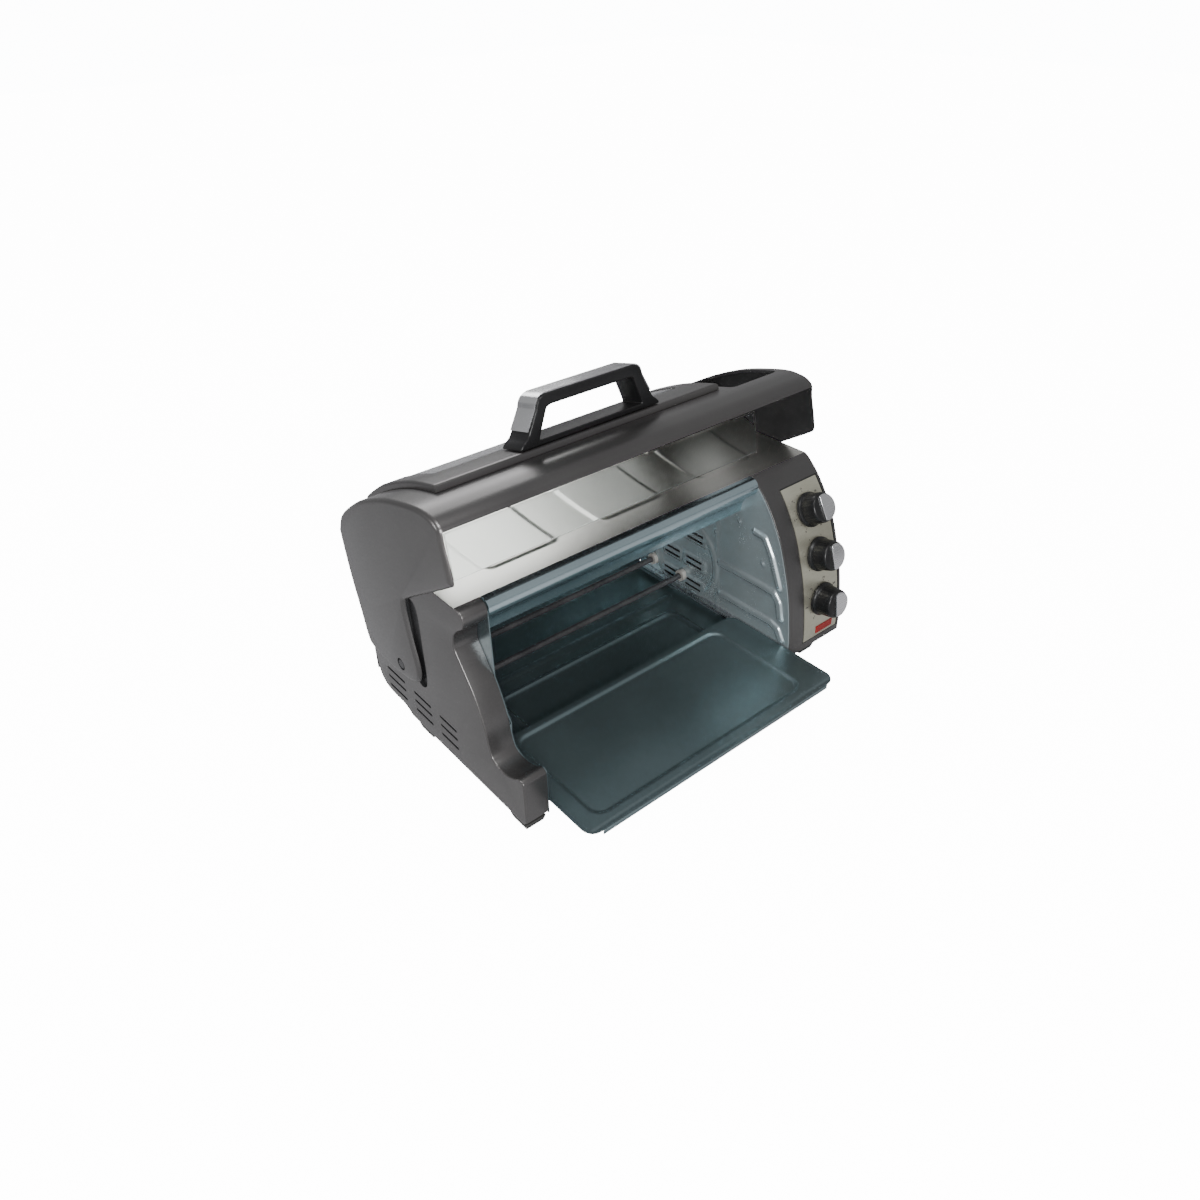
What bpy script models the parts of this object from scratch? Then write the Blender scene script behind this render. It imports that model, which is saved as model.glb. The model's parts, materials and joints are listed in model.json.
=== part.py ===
"""Roll-top toaster oven: a curved door on two side arms turns up over the body, and a crumb tray slides out.

Metres, +Z up, +X to the right of someone who stands in front of the oven. The side view is drawn as
(y, z) outlines in millimetres above the table, at the nominal depth of the oven, and `side` scales them.
"""

import math

import bmesh
import bpy
from mathutils import Matrix, Vector

# Driving dimensions, in metres.
WIDTH = 0.470  # over the outer faces of the door's arms
DEPTH = 0.2685  # of the body, from the toes to the rear cover
HOUSING_WIDTH = 0.0875  # control housing on the right
CAP_WIDTH = 0.026  # left end cap
ARM_THICK = 0.0038
SHELL = 0.0025  # moulded walls
SHEET = 0.0012  # metal sheets
SKIN = 0.0030  # curved door skin
GAP = 0.0003  # between pieces that touch
ARM_GAP = 0.0007  # between an arm and the end cap that it passes
BEZEL_RISE = 0.0070
BEZEL_RAIL = 0.022
FRONT_RAIL = 0.0355  # of the bezel, under the handle
GLASS = 0.0030
KNOB_DIAMETER = 0.039
KNOB_DEPTH = 0.024
SHAFT_RADIUS = 0.0030
PIN_RADIUS = 0.0050
RUNNING_GAP = 0.0003
SWITCH_SET = 0.0018  # from the housing's wall to a switch body, more than the wall's curve takes up
ELEMENT_RADIUS = 0.0036
HOLDER_LENGTH = 0.0060
TRAY_DEPTH = 0.154
TRAY_OUT = 0.058  # how far the tray is drawn out at rest
TRAY_DISH = 0.0020
HANDLE_HALF_SPAN = 0.0855
HANDLE_OFFSET = 0.0065  # to the right of the bezel's middle
HANDLE_DEPTH = 0.032
HANDLE_RISE = 0.0485
HANDLE_LEAN = 4  # degrees
INSERT_THICK = 0.0015
FOOT_HEIGHT = 0.0077
FOOT_WIDTH, FOOT_LENGTH = 0.024, 0.026
RIGHT_FOOT_INSET = 0.0655  # from the housing's outer face to the left side of its feet
RIM_MARGIN = 0.020  # of the tray, around its pressed middle
PAN_MARGIN = 0.030
PAN_DISH = 0.0015
CORNER_RADIUS = 0.012  # of the tray
VENT_ROWS, VENT_PITCH, VENT_HEIGHT, VENT_LENGTH = 5, 0.012, 0.004, 0.080  # in the rear cover
SWITCH_SIZE, SWITCH_DEPTH = 0.030, 0.022
GLAND_INSET, GLAND_RADIUS, GLAND_LENGTH = 0.0405, 0.009, 0.012
TERMINAL_INSET, TERMINAL_WIDTH = 0.0585, 0.034

NOMINAL_DEPTH_MM = 268.5
SCALE = DEPTH / NOMINAL_DEPTH_MM  # metres to one millimetre of the side view
ARM_OUT = WIDTH / 2
ARM_IN = ARM_OUT - ARM_THICK
FACE = ARM_IN - ARM_GAP  # outer faces of the end cap and the control housing
SKIN_HALF = ARM_IN - GAP
LEFT_WALL_OUT = -FACE + CAP_WIDTH + GAP
LEFT_WALL = LEFT_WALL_OUT + SHEET
RIGHT_WALL_OUT = FACE - HOUSING_WIDTH - GAP
RIGHT_WALL = RIGHT_WALL_OUT - SHEET
INNER_LEFT = LEFT_WALL + GAP
INNER_RIGHT = RIGHT_WALL - GAP


def side(*points):
    """Side-view points, given in millimetres at the nominal depth, as (y, z) in metres."""
    return [Vector((y * SCALE, z * SCALE)) for y, z in points]


PIVOT = side((82, 81))[0]
SEAM_Y = side((10, 0))[0].x
COVER_FRONT = side((-31, 208.9))[0]
BODY_TOP = COVER_FRONT.y - SHEET - GAP
BODY_BOTTOM = FOOT_HEIGHT + GAP
BACK = side((150, 0))[0].x
TRAY_Z = side((0, 22.8))[0].y


# Outlines and curves of the side view.
def smooth(points, steps):
    """A Catmull-Rom curve through the points, with this many steps to a span."""
    ends = [points[0] * 2 - points[1]] + list(points) + [points[-1] * 2 - points[-2]]
    found = []
    for a, b, c, d in zip(ends, ends[1:], ends[2:], ends[3:]):
        for step in range(steps):
            t = step / steps
            square, cube = t * t, t * t * t
            found.append((b * 2 + (c - a) * t + (a * 2 - b * 5 + c * 4 - d) * square
                          + (b * 3 - a - c * 3 + d) * cube) / 2)
    return found + [points[-1].copy()]


def shifted(curve, distance):
    """An open curve moved to its right-hand side, seen along it."""
    found = []
    for i, point in enumerate(curve):
        along = (curve[min(i + 1, len(curve) - 1)] - curve[max(i - 1, 0)]).normalized()
        found.append(point + Vector((along.y, -along.x)) * distance)
    return found


def inset(outline, distance):
    """A counter-clockwise closed outline moved inwards, with its corners kept."""
    found = []
    for before, here, after in zip(outline[-1:] + outline[:-1], outline, outline[1:] + outline[:1]):
        one, two = (here - before).normalized(), (after - here).normalized()
        left_one, left_two = Vector((-one.y, one.x)), Vector((-two.y, two.x))
        found.append(here + (left_one + left_two) * distance / (1 + left_one.dot(left_two)))
    return found


def band(curve, near, far):
    """The closed outline between two parallels of a curve."""
    return shifted(curve, near) + shifted(curve, far)[::-1]


def between(curve, low, high, axis=0):
    """The stretch of a curve between two values of y (axis 0) or z (axis 1)."""
    found = []
    for a, b in zip(curve, curve[1:]):
        for edge in sorted((low, high), key=lambda value: abs(value - a[axis])):
            if (a[axis] - edge) * (b[axis] - edge) < 0:
                found.append(a.lerp(b, (edge - a[axis]) / (b[axis] - a[axis])))
        if low <= b[axis] <= high:
            found.append(b.copy())
    return found


def place_on(curve, value, axis=0):
    """The point of a curve at this y or z, and its direction there."""
    for a, b in zip(curve, curve[1:]):
        if (a[axis] - value) * (b[axis] - value) <= 0 and a != b:
            return a.lerp(b, (value - a[axis]) / (b[axis] - a[axis])), (b - a).normalized()
    raise ValueError("the curve doesn't reach this value")


DOOR_CURVE = smooth(side((-29.5, 283), (-27, 287), (-20, 291), (-11, 292.5), (4.5, 292.5),
                         (30, 287), (68, 275.5), (111, 256), (136, 241), (165, 218), (176, 198)), 2)
ARM_REST = side((174, 179), (169, 145), (160, 106), (151, 72), (140, 65), (109, 63), (78, 65), (55, 72),
                (47, 82), (45, 98), (53, 128), (58, 161), (58.6, 173), (-1, 210), (-39, 235), (-36, 257),
                (-31, 269))
HOUSING_CURVE = smooth(side((-31.4, 208.2), (-40, 202.5), (-50, 193), (-59, 182), (-68, 169), (-81, 145),
                            (-92, 114), (-100, 85), (-105, 55), (-108.5, 30)), 2)
NOSE_CURVE = smooth(side((-31.4, 208.7), (-38, 207.6), (-42.5, 204), (-43.5, 197), (-40, 190), (-31, 183),
                         (-24, 174), (-22, 163)), 2)
LOWER_BACK = side((84, 8), (92, 13.5), (122, 15.5), (137, 19), (147, 31), (149.5, 52), (149.5, 184),
                  (144.5, 196.5), (137, 203.6))
CAP_FRONT = side((-36, 139), (-49, 119.5), (-61, 91.5), (-67, 64), (-72, 54.5), (-88, 54), (-104, 59),
                 (-113, 66), (-118.5, 63), (-118.5, 14))


def left_outline():
    back = LOWER_BACK + [Vector((side((126, 0))[0].x, BODY_TOP))]
    back[0] = Vector((back[0].x, BODY_BOTTOM))
    toe = Vector((CAP_FRONT[-1].x + SHELL, BODY_BOTTOM))
    return [toe] + back + [Vector((COVER_FRONT.x - GAP, BODY_TOP))] + NOSE_CURVE + CAP_FRONT


def housing_outline():
    bottom = Vector((HOUSING_CURVE[-1].x, BODY_BOTTOM))
    seam = SEAM_Y - GAP / 2
    return [bottom, Vector((seam, BODY_BOTTOM)), Vector((seam, BODY_TOP)),
            Vector((COVER_FRONT.x - GAP, BODY_TOP))] + HOUSING_CURVE


def side_cover_outline():
    seam = SEAM_Y + GAP / 2
    back = LOWER_BACK + [Vector((side((126, 0))[0].x, BODY_TOP))]
    back[0] = Vector((back[0].x, BODY_BOTTOM))
    return [Vector((seam, BODY_BOTTOM))] + back + [Vector((seam, BODY_TOP))]


def right_wall_outline():
    front = housing_outline()
    return front[:1] + side_cover_outline()[1:-1] + front[3:]


# Objects and materials.
def clear_scene():
    for obj in list(bpy.data.objects):
        bpy.data.objects.remove(obj, do_unlink=True)


def material(name, colour, roughness, metallic=0.0, clear=0.0):
    made = bpy.data.materials.new(name)
    made.use_nodes = True
    shader = made.node_tree.nodes["Principled BSDF"]
    shader.inputs["Base Color"].default_value = (*colour, 1)
    shader.inputs["Roughness"].default_value = roughness
    shader.inputs["Metallic"].default_value = metallic
    shader.inputs["Transmission Weight"].default_value = clear
    made.diffuse_color = (*colour, 1)
    return made


def empty(name, location, parent=None, tilt=0.0):
    made = bpy.data.objects.new(name, None)
    made.empty_display_size = 0.02
    made.location = location
    made.rotation_euler.x = tilt
    made.parent = parent
    bpy.context.scene.collection.objects.link(made)
    return made


def add(name, bm, look, parent):
    """A closed mesh as an object. Its coordinates are those of the oven, or those of a tilted parent."""
    bmesh.ops.recalc_face_normals(bm, faces=bm.faces)
    mesh = bpy.data.meshes.new(name)
    bm.to_mesh(mesh)
    bm.free()
    if parent is not OVEN and not parent.rotation_euler.x:
        mesh.transform(Matrix.Translation(-parent.location))
    mesh.shade_smooth()
    mesh.set_sharp_from_angle(angle=math.radians(30))
    obj = bpy.data.objects.new(name, mesh)
    obj.parent = parent
    if look:
        mesh.materials.append(look)
    bpy.context.scene.collection.objects.link(obj)
    return obj


def extrude(bm, loop, travel):
    """A closed loop of points, filled and swept along a vector."""
    near = [bm.verts.new(point) for point in loop]
    face = bm.faces.new(near)
    swept = bmesh.ops.extrude_face_region(bm, geom=[face], use_keep_orig=True)
    moved = [item for item in swept["geom"] if isinstance(item, bmesh.types.BMVert)]
    bmesh.ops.translate(bm, verts=moved, vec=travel)
    return bm


def prism(name, outline, left, right, look, parent):
    """A side-view outline swept from one x to another."""
    bm = bmesh.new()
    extrude(bm, [(left, point.x, point.y) for point in outline], (right - left, 0, 0))
    return add(name, bm, look, parent)


def add_box(bm, low, high):
    cube = bmesh.ops.create_cube(bm, size=1)["verts"]
    size = Vector(high) - Vector(low)
    bmesh.ops.scale(bm, verts=cube, vec=size)
    bmesh.ops.translate(bm, verts=cube, vec=Vector(low) + size / 2)


def box(name, low, high, look, parent):
    bm = bmesh.new()
    add_box(bm, low, high)
    return add(name, bm, look, parent)


def cylinder(name, start, end, radius, look, parent, sides=24):
    """A round bar between two points that share two coordinates."""
    bm = bmesh.new()
    start, end = Vector(start), Vector(end)
    turn = Vector((0, 0, 1)).rotation_difference(end - start).to_matrix().to_4x4()
    at = Matrix.Translation((start + end) / 2) @ turn
    bmesh.ops.create_cone(bm, cap_ends=True, segments=sides, radius1=radius, radius2=radius,
                          depth=(end - start).length, matrix=at)
    return add(name, bm, look, parent)


def turned(name, profile, look, parent, sides=32):
    """A solid of revolution about local Z, from (radius, z) points that start and end on the axis."""
    bm = bmesh.new()
    points = [bm.verts.new((radius, 0, z)) for radius, z in profile]
    edges = [bm.edges.new(pair) for pair in zip(points, points[1:])]
    bmesh.ops.spin(bm, geom=points + edges, axis=(0, 0, 1), cent=(0, 0, 0), steps=sides,
                   angle=math.tau, use_merge=True)
    bmesh.ops.remove_doubles(bm, verts=bm.verts, dist=1e-6)
    return add(name, bm, look, parent)


def hidden(obj):
    obj.hide_render = True
    obj.display_type = "WIRE"
    return obj


def cut(target, cutter):
    """Takes the cutter's shape out of the target."""
    made = target.modifiers.new("cut", "BOOLEAN")
    made.operation = "DIFFERENCE"
    made.object = hidden(cutter)


def keep_within(target, low, high, parent):
    """Leaves only what lies inside a box."""
    made = target.modifiers.new("trim", "BOOLEAN")
    made.operation = "INTERSECT"
    made.object = hidden(box(target.name + "_trim", low, high, None, parent))


def cut_boxes(target, boxes, parent):
    bm = bmesh.new()
    for low, high in boxes:
        add_box(bm, low, high)
    cut(target, add(target.name + "_slots", bm, None, parent))


def dished(name, low, high, thick, margin, dish, look, parent, corner=0.0):
    """A thin plate between two (x, y) corners at a height, with its middle pressed down."""
    (x0, y0, z), (x1, y1, _) = low, high
    rings = []
    for inward, drop in ((0, 0), (margin, 0), (margin + dish, dish)):
        rounding = max(corner - inward, 0.001)
        ring = []
        for cx, cy, start in ((x1, y1, 0), (x0, y1, 90), (x0, y0, 180), (x1, y0, 270)):
            for quarter in range(5):
                turn = math.radians(start + 22.5 * quarter)
                toward = Vector((1 if cx == x0 else -1, 1 if cy == y0 else -1))
                centre = Vector((cx, cy)) + toward * (inward + rounding)
                ring.append(Vector((centre.x + rounding * math.cos(turn),
                                    centre.y + rounding * math.sin(turn), z - drop)))
        rings.append(ring)
    bm = bmesh.new()
    sheets = []
    for depth in (0, thick):
        loops = [[bm.verts.new(point - Vector((0, 0, depth))) for point in ring] for ring in rings]
        bm.faces.new(loops[-1])
        sheets.append(loops)
        for outer, inner in zip(loops, loops[1:]):
            ring_faces(bm, outer, inner)
    ring_faces(bm, sheets[0][0], sheets[1][0])
    return add(name, bm, look, parent)


def ring_faces(bm, one, two):
    for i, vert in enumerate(one):
        following = (i + 1) % len(one)
        bm.faces.new((vert, one[following], two[following], two[i]))


# The body.
def shell(name, outline, left, right, open_left, look):
    """A moulded cover: a side-view prism, hollowed from the side that faces the cavity."""
    made = prism(name, outline, left, right, look, OVEN)
    inner = inset(outline, SHELL)
    start = left - SHELL if open_left else left + SHELL
    end = right - SHELL if open_left else right + SHELL
    cut(made, prism(name + "_hollow", inner, start, end, None, OVEN))
    return made


def louvers():
    """Three groups of three slots low on the outer face of a side."""
    found = []
    for y0, y1 in ((90, 126), (39, 72), (-8, 23)):
        for z in (26, 38, 49):
            low, high = side((y0, z - 1.6), (y1, z + 1.6))
            found.append((low, high))
    return found


def build_left_cap():
    cap = shell("left_end_cap", left_outline(), -FACE, -FACE + CAP_WIDTH, False, GUNMETAL)
    slots = [((-FACE - SHELL, low.x, low.y), (-FACE + 2 * SHELL, high.x, high.y)) for low, high in louvers()]
    cut_boxes(cap, slots, OVEN)


def build_right_side():
    housing = shell("control_housing", housing_outline(), FACE - HOUSING_WIDTH, FACE, True, GUNMETAL)
    cover = shell("right_side_cover", side_cover_outline(), FACE - HOUSING_WIDTH, FACE, True, GUNMETAL)
    slots = [((FACE - 2 * SHELL, low.x, low.y), (FACE + SHELL, high.x, high.y))
             for low, high in louvers() if low.x > SEAM_Y + 2 * SHELL]
    cut_boxes(cover, slots, OVEN)
    return housing


def build_sheets():
    """The thin metal sheets of the cavity and the outer covers."""
    wall = inset(left_outline(), GAP)
    prism("cavity_left_wall", wall, LEFT_WALL_OUT, LEFT_WALL, GALVANISED, OVEN)
    right = prism("cavity_right_wall", inset(right_wall_outline(), GAP), RIGHT_WALL, RIGHT_WALL_OUT,
                  GALVANISED, OVEN)
    cut_boxes(right, [((RIGHT_WALL - SHELL, low.x, low.y), (RIGHT_WALL_OUT + SHELL, high.x, high.y))
                      for low, high in fan_slots()], OVEN)
    back, top, bottom = side((139.5, 196.5))[0].x, side((0, 197.7))[0].y, BODY_BOTTOM + 0.0020
    box("cavity_back_wall", (INNER_LEFT, back, bottom + SHEET + GAP),
        (INNER_RIGHT, back + SHEET, top - SHEET - GAP), GALVANISED, OVEN)
    box("cavity_ceiling", (INNER_LEFT, side((-19, 0))[0].x, top - SHEET), (INNER_RIGHT, back + SHEET, top),
        GALVANISED, OVEN)
    pan_front = (INNER_LEFT, side((-100, 0))[0].x, bottom + SHEET)
    dished("base_pan", pan_front, (INNER_RIGHT, back - GAP, 0), SHEET, PAN_MARGIN, PAN_DISH, GALVANISED, OVEN,
           0.004)
    cover = side((-31, 208.9), (128, 208.9), (140, 206), (148, 198.5), (151.5, 187.5))
    prism("top_cover", band(cover, 0, SHEET), -FACE + GAP, FACE - GAP, POLISHED, OVEN)
    prism("header_bar", band(NOSE_CURVE, -SHEET, 0), INNER_LEFT, INNER_RIGHT, POLISHED, OVEN)


def fan_slots():
    found = []
    for z in (104, 96, 68, 60, 37, 29):
        for y in (34, 66):
            found.append(side((y, z - 1.5), (y + 26, z + 1.5)))
    return found


def build_rear():
    low, high = side((150.3, 32), (150.3, 185.5))
    cover = box("rear_cover", (-FACE + GAP, low.x, low.y), (FACE - GAP, low.x + SHEET, high.y), GUNMETAL,
                OVEN)
    slots = []
    for row in range(VENT_ROWS):
        for column in (-0.120, 0.040):
            z = low.y + 0.070 + VENT_PITCH * row
            slots.append(((column, low.x - SHEET, z),
                          (column + VENT_LENGTH, low.x + 2 * SHEET, z + VENT_HEIGHT)))
    cut_boxes(cover, slots, OVEN)
    start = (FACE - GLAND_INSET, low.x + SHEET + GAP, low.y + 0.022)
    end = (start[0], start[1] + GLAND_LENGTH, start[2])
    cylinder("cord_gland", start, end, GLAND_RADIUS, BLACK, OVEN, 20)
    left = FACE - TERMINAL_INSET
    box("terminal_block", (left, BACK - 0.026, low.y + 0.030),
        (left + TERMINAL_WIDTH, BACK - 0.006, low.y + 0.052), IVORY, OVEN)


def build_feet():
    right = FACE - RIGHT_FOOT_INSET
    spots = {"front_left": (-FACE + GAP, -117), "front_right": (right, -108),
             "rear_left": (-FACE + GAP, 46), "rear_right": (right, 46)}
    for name, (x, y_mm) in spots.items():
        y = side((y_mm, 0))[0].x
        bm = bmesh.new()
        add_box(bm, (x, y, 0), (x + FOOT_WIDTH, y + FOOT_LENGTH, FOOT_HEIGHT))
        low = [vert for vert in bm.verts if vert.co.z < FOOT_HEIGHT / 2]
        centre = Vector((x + FOOT_WIDTH / 2, y + FOOT_LENGTH / 2, 0))
        bmesh.ops.scale(bm, verts=low, vec=(0.84, 0.84, 1), space=Matrix.Translation(-centre))
        add("foot_" + name, bm, BLACK, OVEN)


# What works inside.
def build_elements():
    spots = {"lower_element_front": (62, 38), "lower_element_rear": (112, 38),
             "upper_element_front": (30, 184), "upper_element_rear": (104, 184)}
    for name, spot in spots.items():
        y, z = side(spot)[0]
        left, right = INNER_LEFT + HOLDER_LENGTH, INNER_RIGHT - HOLDER_LENGTH
        cylinder(name, (left + GAP, y, z), (right - GAP, y, z), ELEMENT_RADIUS, QUARTZ, OVEN, 12)
        cylinder(name + "_holder_left", (INNER_LEFT, y, z), (left, y, z), 2 * ELEMENT_RADIUS, IVORY, OVEN, 12)
        cylinder(name + "_holder_right", (right, y, z), (INNER_RIGHT, y, z), 2 * ELEMENT_RADIUS, IVORY, OVEN,
                 12)


def build_fan():
    centre = side((62, 68))[0]
    hub, tip, blade = 0.008, 0.030, 0.0030
    outline = []
    for turn in range(6):
        angle = math.radians(60 * turn)
        out, across = Vector((math.cos(angle), math.sin(angle))), Vector((-math.sin(angle), math.cos(angle)))
        for reach, offset in ((hub, -blade), (tip, -blade), (tip, blade), (hub, blade)):
            outline.append(centre + out * reach + across * offset / 2)
    front = RIGHT_WALL_OUT + 0.0040
    axis = empty("fan_axis", (front, centre.x, centre.y), OVEN)
    prism("convection_fan", outline, front, front + 0.010, STEEL, axis)
    start = front + 0.010 + GAP
    motor = cylinder("fan_motor", (start + 0.006, centre.x, centre.y), (start + 0.034, centre.x, centre.y),
                     0.019, STEEL, OVEN, 20)
    shaft = cylinder("fan_motor_shaft", (start, centre.x, centre.y), (start + 0.010, centre.x, centre.y),
                     0.0025, STEEL, OVEN, 12)
    joined = motor.modifiers.new("shaft", "BOOLEAN")
    joined.operation = "UNION"
    joined.object = hidden(shaft)


def build_rails():
    low, high = side((-98, 0), (135, 0))
    top = TRAY_Z - SHEET - GAP
    for name, x in ("tray_rail_left", INNER_LEFT), ("tray_rail_right", INNER_RIGHT - 0.007):
        box(name, (x, low.x, top - 0.0020), (x + 0.007, high.x, top), STEEL, OVEN)


def build_tray():
    front = side((-118.5, 0))[0].x - TRAY_OUT
    axis = empty("tray_axis", (0, front, TRAY_Z), OVEN)
    near = (INNER_LEFT + 0.0010, front, TRAY_Z)
    far = (INNER_RIGHT - 0.0010, front + TRAY_DEPTH, 0)
    tray = dished("crumb_tray", near, far, SHEET, RIM_MARGIN, TRAY_DISH, GALVANISED, axis, CORNER_RADIUS)
    lip = box("tray_lip", (INNER_LEFT + 0.016, front - 0.0008, TRAY_Z - 0.0060),
              (INNER_RIGHT - 0.016, front + 0.0010, TRAY_Z - SHEET / 3), None, axis)
    joined = tray.modifiers.new("lip", "BOOLEAN")
    joined.operation = "UNION"
    joined.object = hidden(lip)


# The controls.
def build_controls(housing):
    x0, x1 = FACE - HOUSING_WIDTH + 0.0250, FACE - 0.0055
    stretch = between(HOUSING_CURVE, side((0, 30))[0].y, side((0, 190))[0].y, axis=1)
    end = Vector((HOUSING_CURVE[-1].x, side((0, 17))[0].y))
    stretch.append(end)
    longer = [stretch[0] + (stretch[0] - stretch[1]).normalized() * GAP] + stretch[1:-1]
    longer.append(end - Vector((0, GAP)))
    recess = prism("fascia_recess", band(longer, -SHEET - GAP, SHEET), x0 - GAP, x1 + GAP, None, OVEN)
    cut(housing, recess)
    fascia = prism("control_fascia", band(stretch, -SHEET, 0), x0, x1, CHAMPAGNE, OVEN)
    for name, z, inner in ("timer", 164, "timer_body"), ("function", 117, "function_switch"), \
            ("temperature", 64, "thermostat"):
        build_knob(name, (x0 + x1) / 2, z, inner, housing, fascia)
    spot, along = place_on(stretch, side((0, 25))[0].y, axis=1)
    axis = empty("lamp_axis", ((x0 + x1) / 2 + 0.006, spot.x, spot.y), OVEN, math.atan2(-along.y, -along.x))
    lamp = ((-0.014, -0.0045, -0.0020), (0.014, 0.0045, 0.0010))
    box("lamp_lens", *lamp, RED, axis)
    hole = box("lamp_hole", (-0.0143, -0.0048, -0.006), (0.0143, 0.0048, 0.004), None, axis)
    cut(fascia, hole)
    cut(housing, hole)


def build_knob(name, x, z_mm, inner, housing, fascia):
    """A control with its axis square to the fascia: local Z points at the person."""
    spot, along = place_on(HOUSING_CURVE, side((0, z_mm))[0].y, axis=1)
    axis = empty(name + "_axis", (x, spot.x, spot.y), OVEN, math.atan2(-along.y, -along.x))
    radius, top = KNOB_DIAMETER / 2, KNOB_DEPTH
    stem = -SHELL - SWITCH_SET + GAP
    turned("knob_" + name, [(0, stem), (SHAFT_RADIUS, stem), (SHAFT_RADIUS, 0.0010), (radius, 0.0010),
                            (radius, 0.0040), (radius - 0.0020, 0.0060), (radius - 0.0025, top - 0.0020),
                            (radius - 0.0045, top), (0, top)], BLACK, axis, 28)
    bm = bmesh.new()
    loop = []
    for step in range(15):
        turn = math.radians(-110 + 220 * step / 14)
        loop.append(((radius - 0.0050) * math.cos(turn), (radius - 0.0050) * math.sin(turn), top + GAP))
    extrude(bm, loop, (0, 0, 0.0020))
    add("knob_cap_" + name, bm, SILVER, axis)
    half, face = SWITCH_SIZE / 2, stem - GAP
    box(inner, (-half, -half, face - SWITCH_DEPTH), (half, half, face), IVORY, axis)
    hole = cylinder(name + "_hole", (0, 0, -0.012), (0, 0, 0.006), SHAFT_RADIUS + RUNNING_GAP, None, axis, 20)
    cut(housing, hole)
    cut(fascia, hole)


# The door.
def build_arms():
    outline = (DOOR_CURVE + ARM_REST)[::-1]
    for name, x0, x1 in ("left", -ARM_OUT, -ARM_IN), ("right", ARM_IN, ARM_OUT):
        arm = prism("door_arm_" + name, outline, x0, x1, GUNMETAL, DOOR)
        near, far = (x0 - 0.01, *PIVOT), (x1 + 0.01, *PIVOT)
        bore = cylinder(name + "_arm_bore", near, far, PIN_RADIUS + RUNNING_GAP, None, DOOR)
        cut(arm, bore)
        inner, outer = (x1, x0) if x0 < 0 else (x0, x1)
        step = math.copysign(GAP, outer)
        cylinder("hinge_pin_" + name, (inner - step, *PIVOT), (outer - step, *PIVOT), PIN_RADIUS, STEEL, OVEN)


def build_skin():
    front, back = side((22, 0), (162, 0))
    bezel_left, bezel_right = -SKIN_HALF + 0.026, RIGHT_WALL
    skin = prism("door_skin", band(DOOR_CURVE, 0, SKIN)[::-1], -SKIN_HALF, SKIN_HALF, GUNMETAL, DOOR)
    window = (bezel_left + BEZEL_RAIL, bezel_right - BEZEL_RAIL)
    opening = (front.x + FRONT_RAIL, back.x - 0.014)
    lift = side((0, 330))[0].y
    floor = side((0, 212))[0].y
    cut_boxes(skin, [((window[0], opening[0], floor), (window[1], opening[1], lift))], DOOR)
    notch = side((12, 212), (108, 330))
    cut_boxes(skin, [((bezel_right + 0.010, notch[0].x, floor), (SKIN_HALF - 0.009, notch[1].x, lift))], DOOR)
    over = between(DOOR_CURVE, front.x, back.x)
    bezel = prism("door_bezel", band(over, -GAP - BEZEL_RISE, -GAP)[::-1], bezel_left, bezel_right, GUNMETAL,
                  DOOR)
    cut_boxes(bezel, [((window[0], opening[0], floor), (window[1], opening[1], lift))], DOOR)
    level = -BEZEL_RISE + 0.0005
    glass = prism("door_window_glass", band(over, level, level + GLASS)[::-1], window[0] + GAP,
                  window[1] - GAP, CLEAR, DOOR)
    keep_within(glass, (-WIDTH, opening[0] + GAP, floor), (WIDTH, opening[1] - GAP, lift), DOOR)
    lower = side((-29.9, 281.6), (-37.5, 239))
    prism("door_lower_glass", band(lower, -GLASS, 0), -SKIN_HALF, RIGHT_WALL, CLEAR, DOOR)


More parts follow.
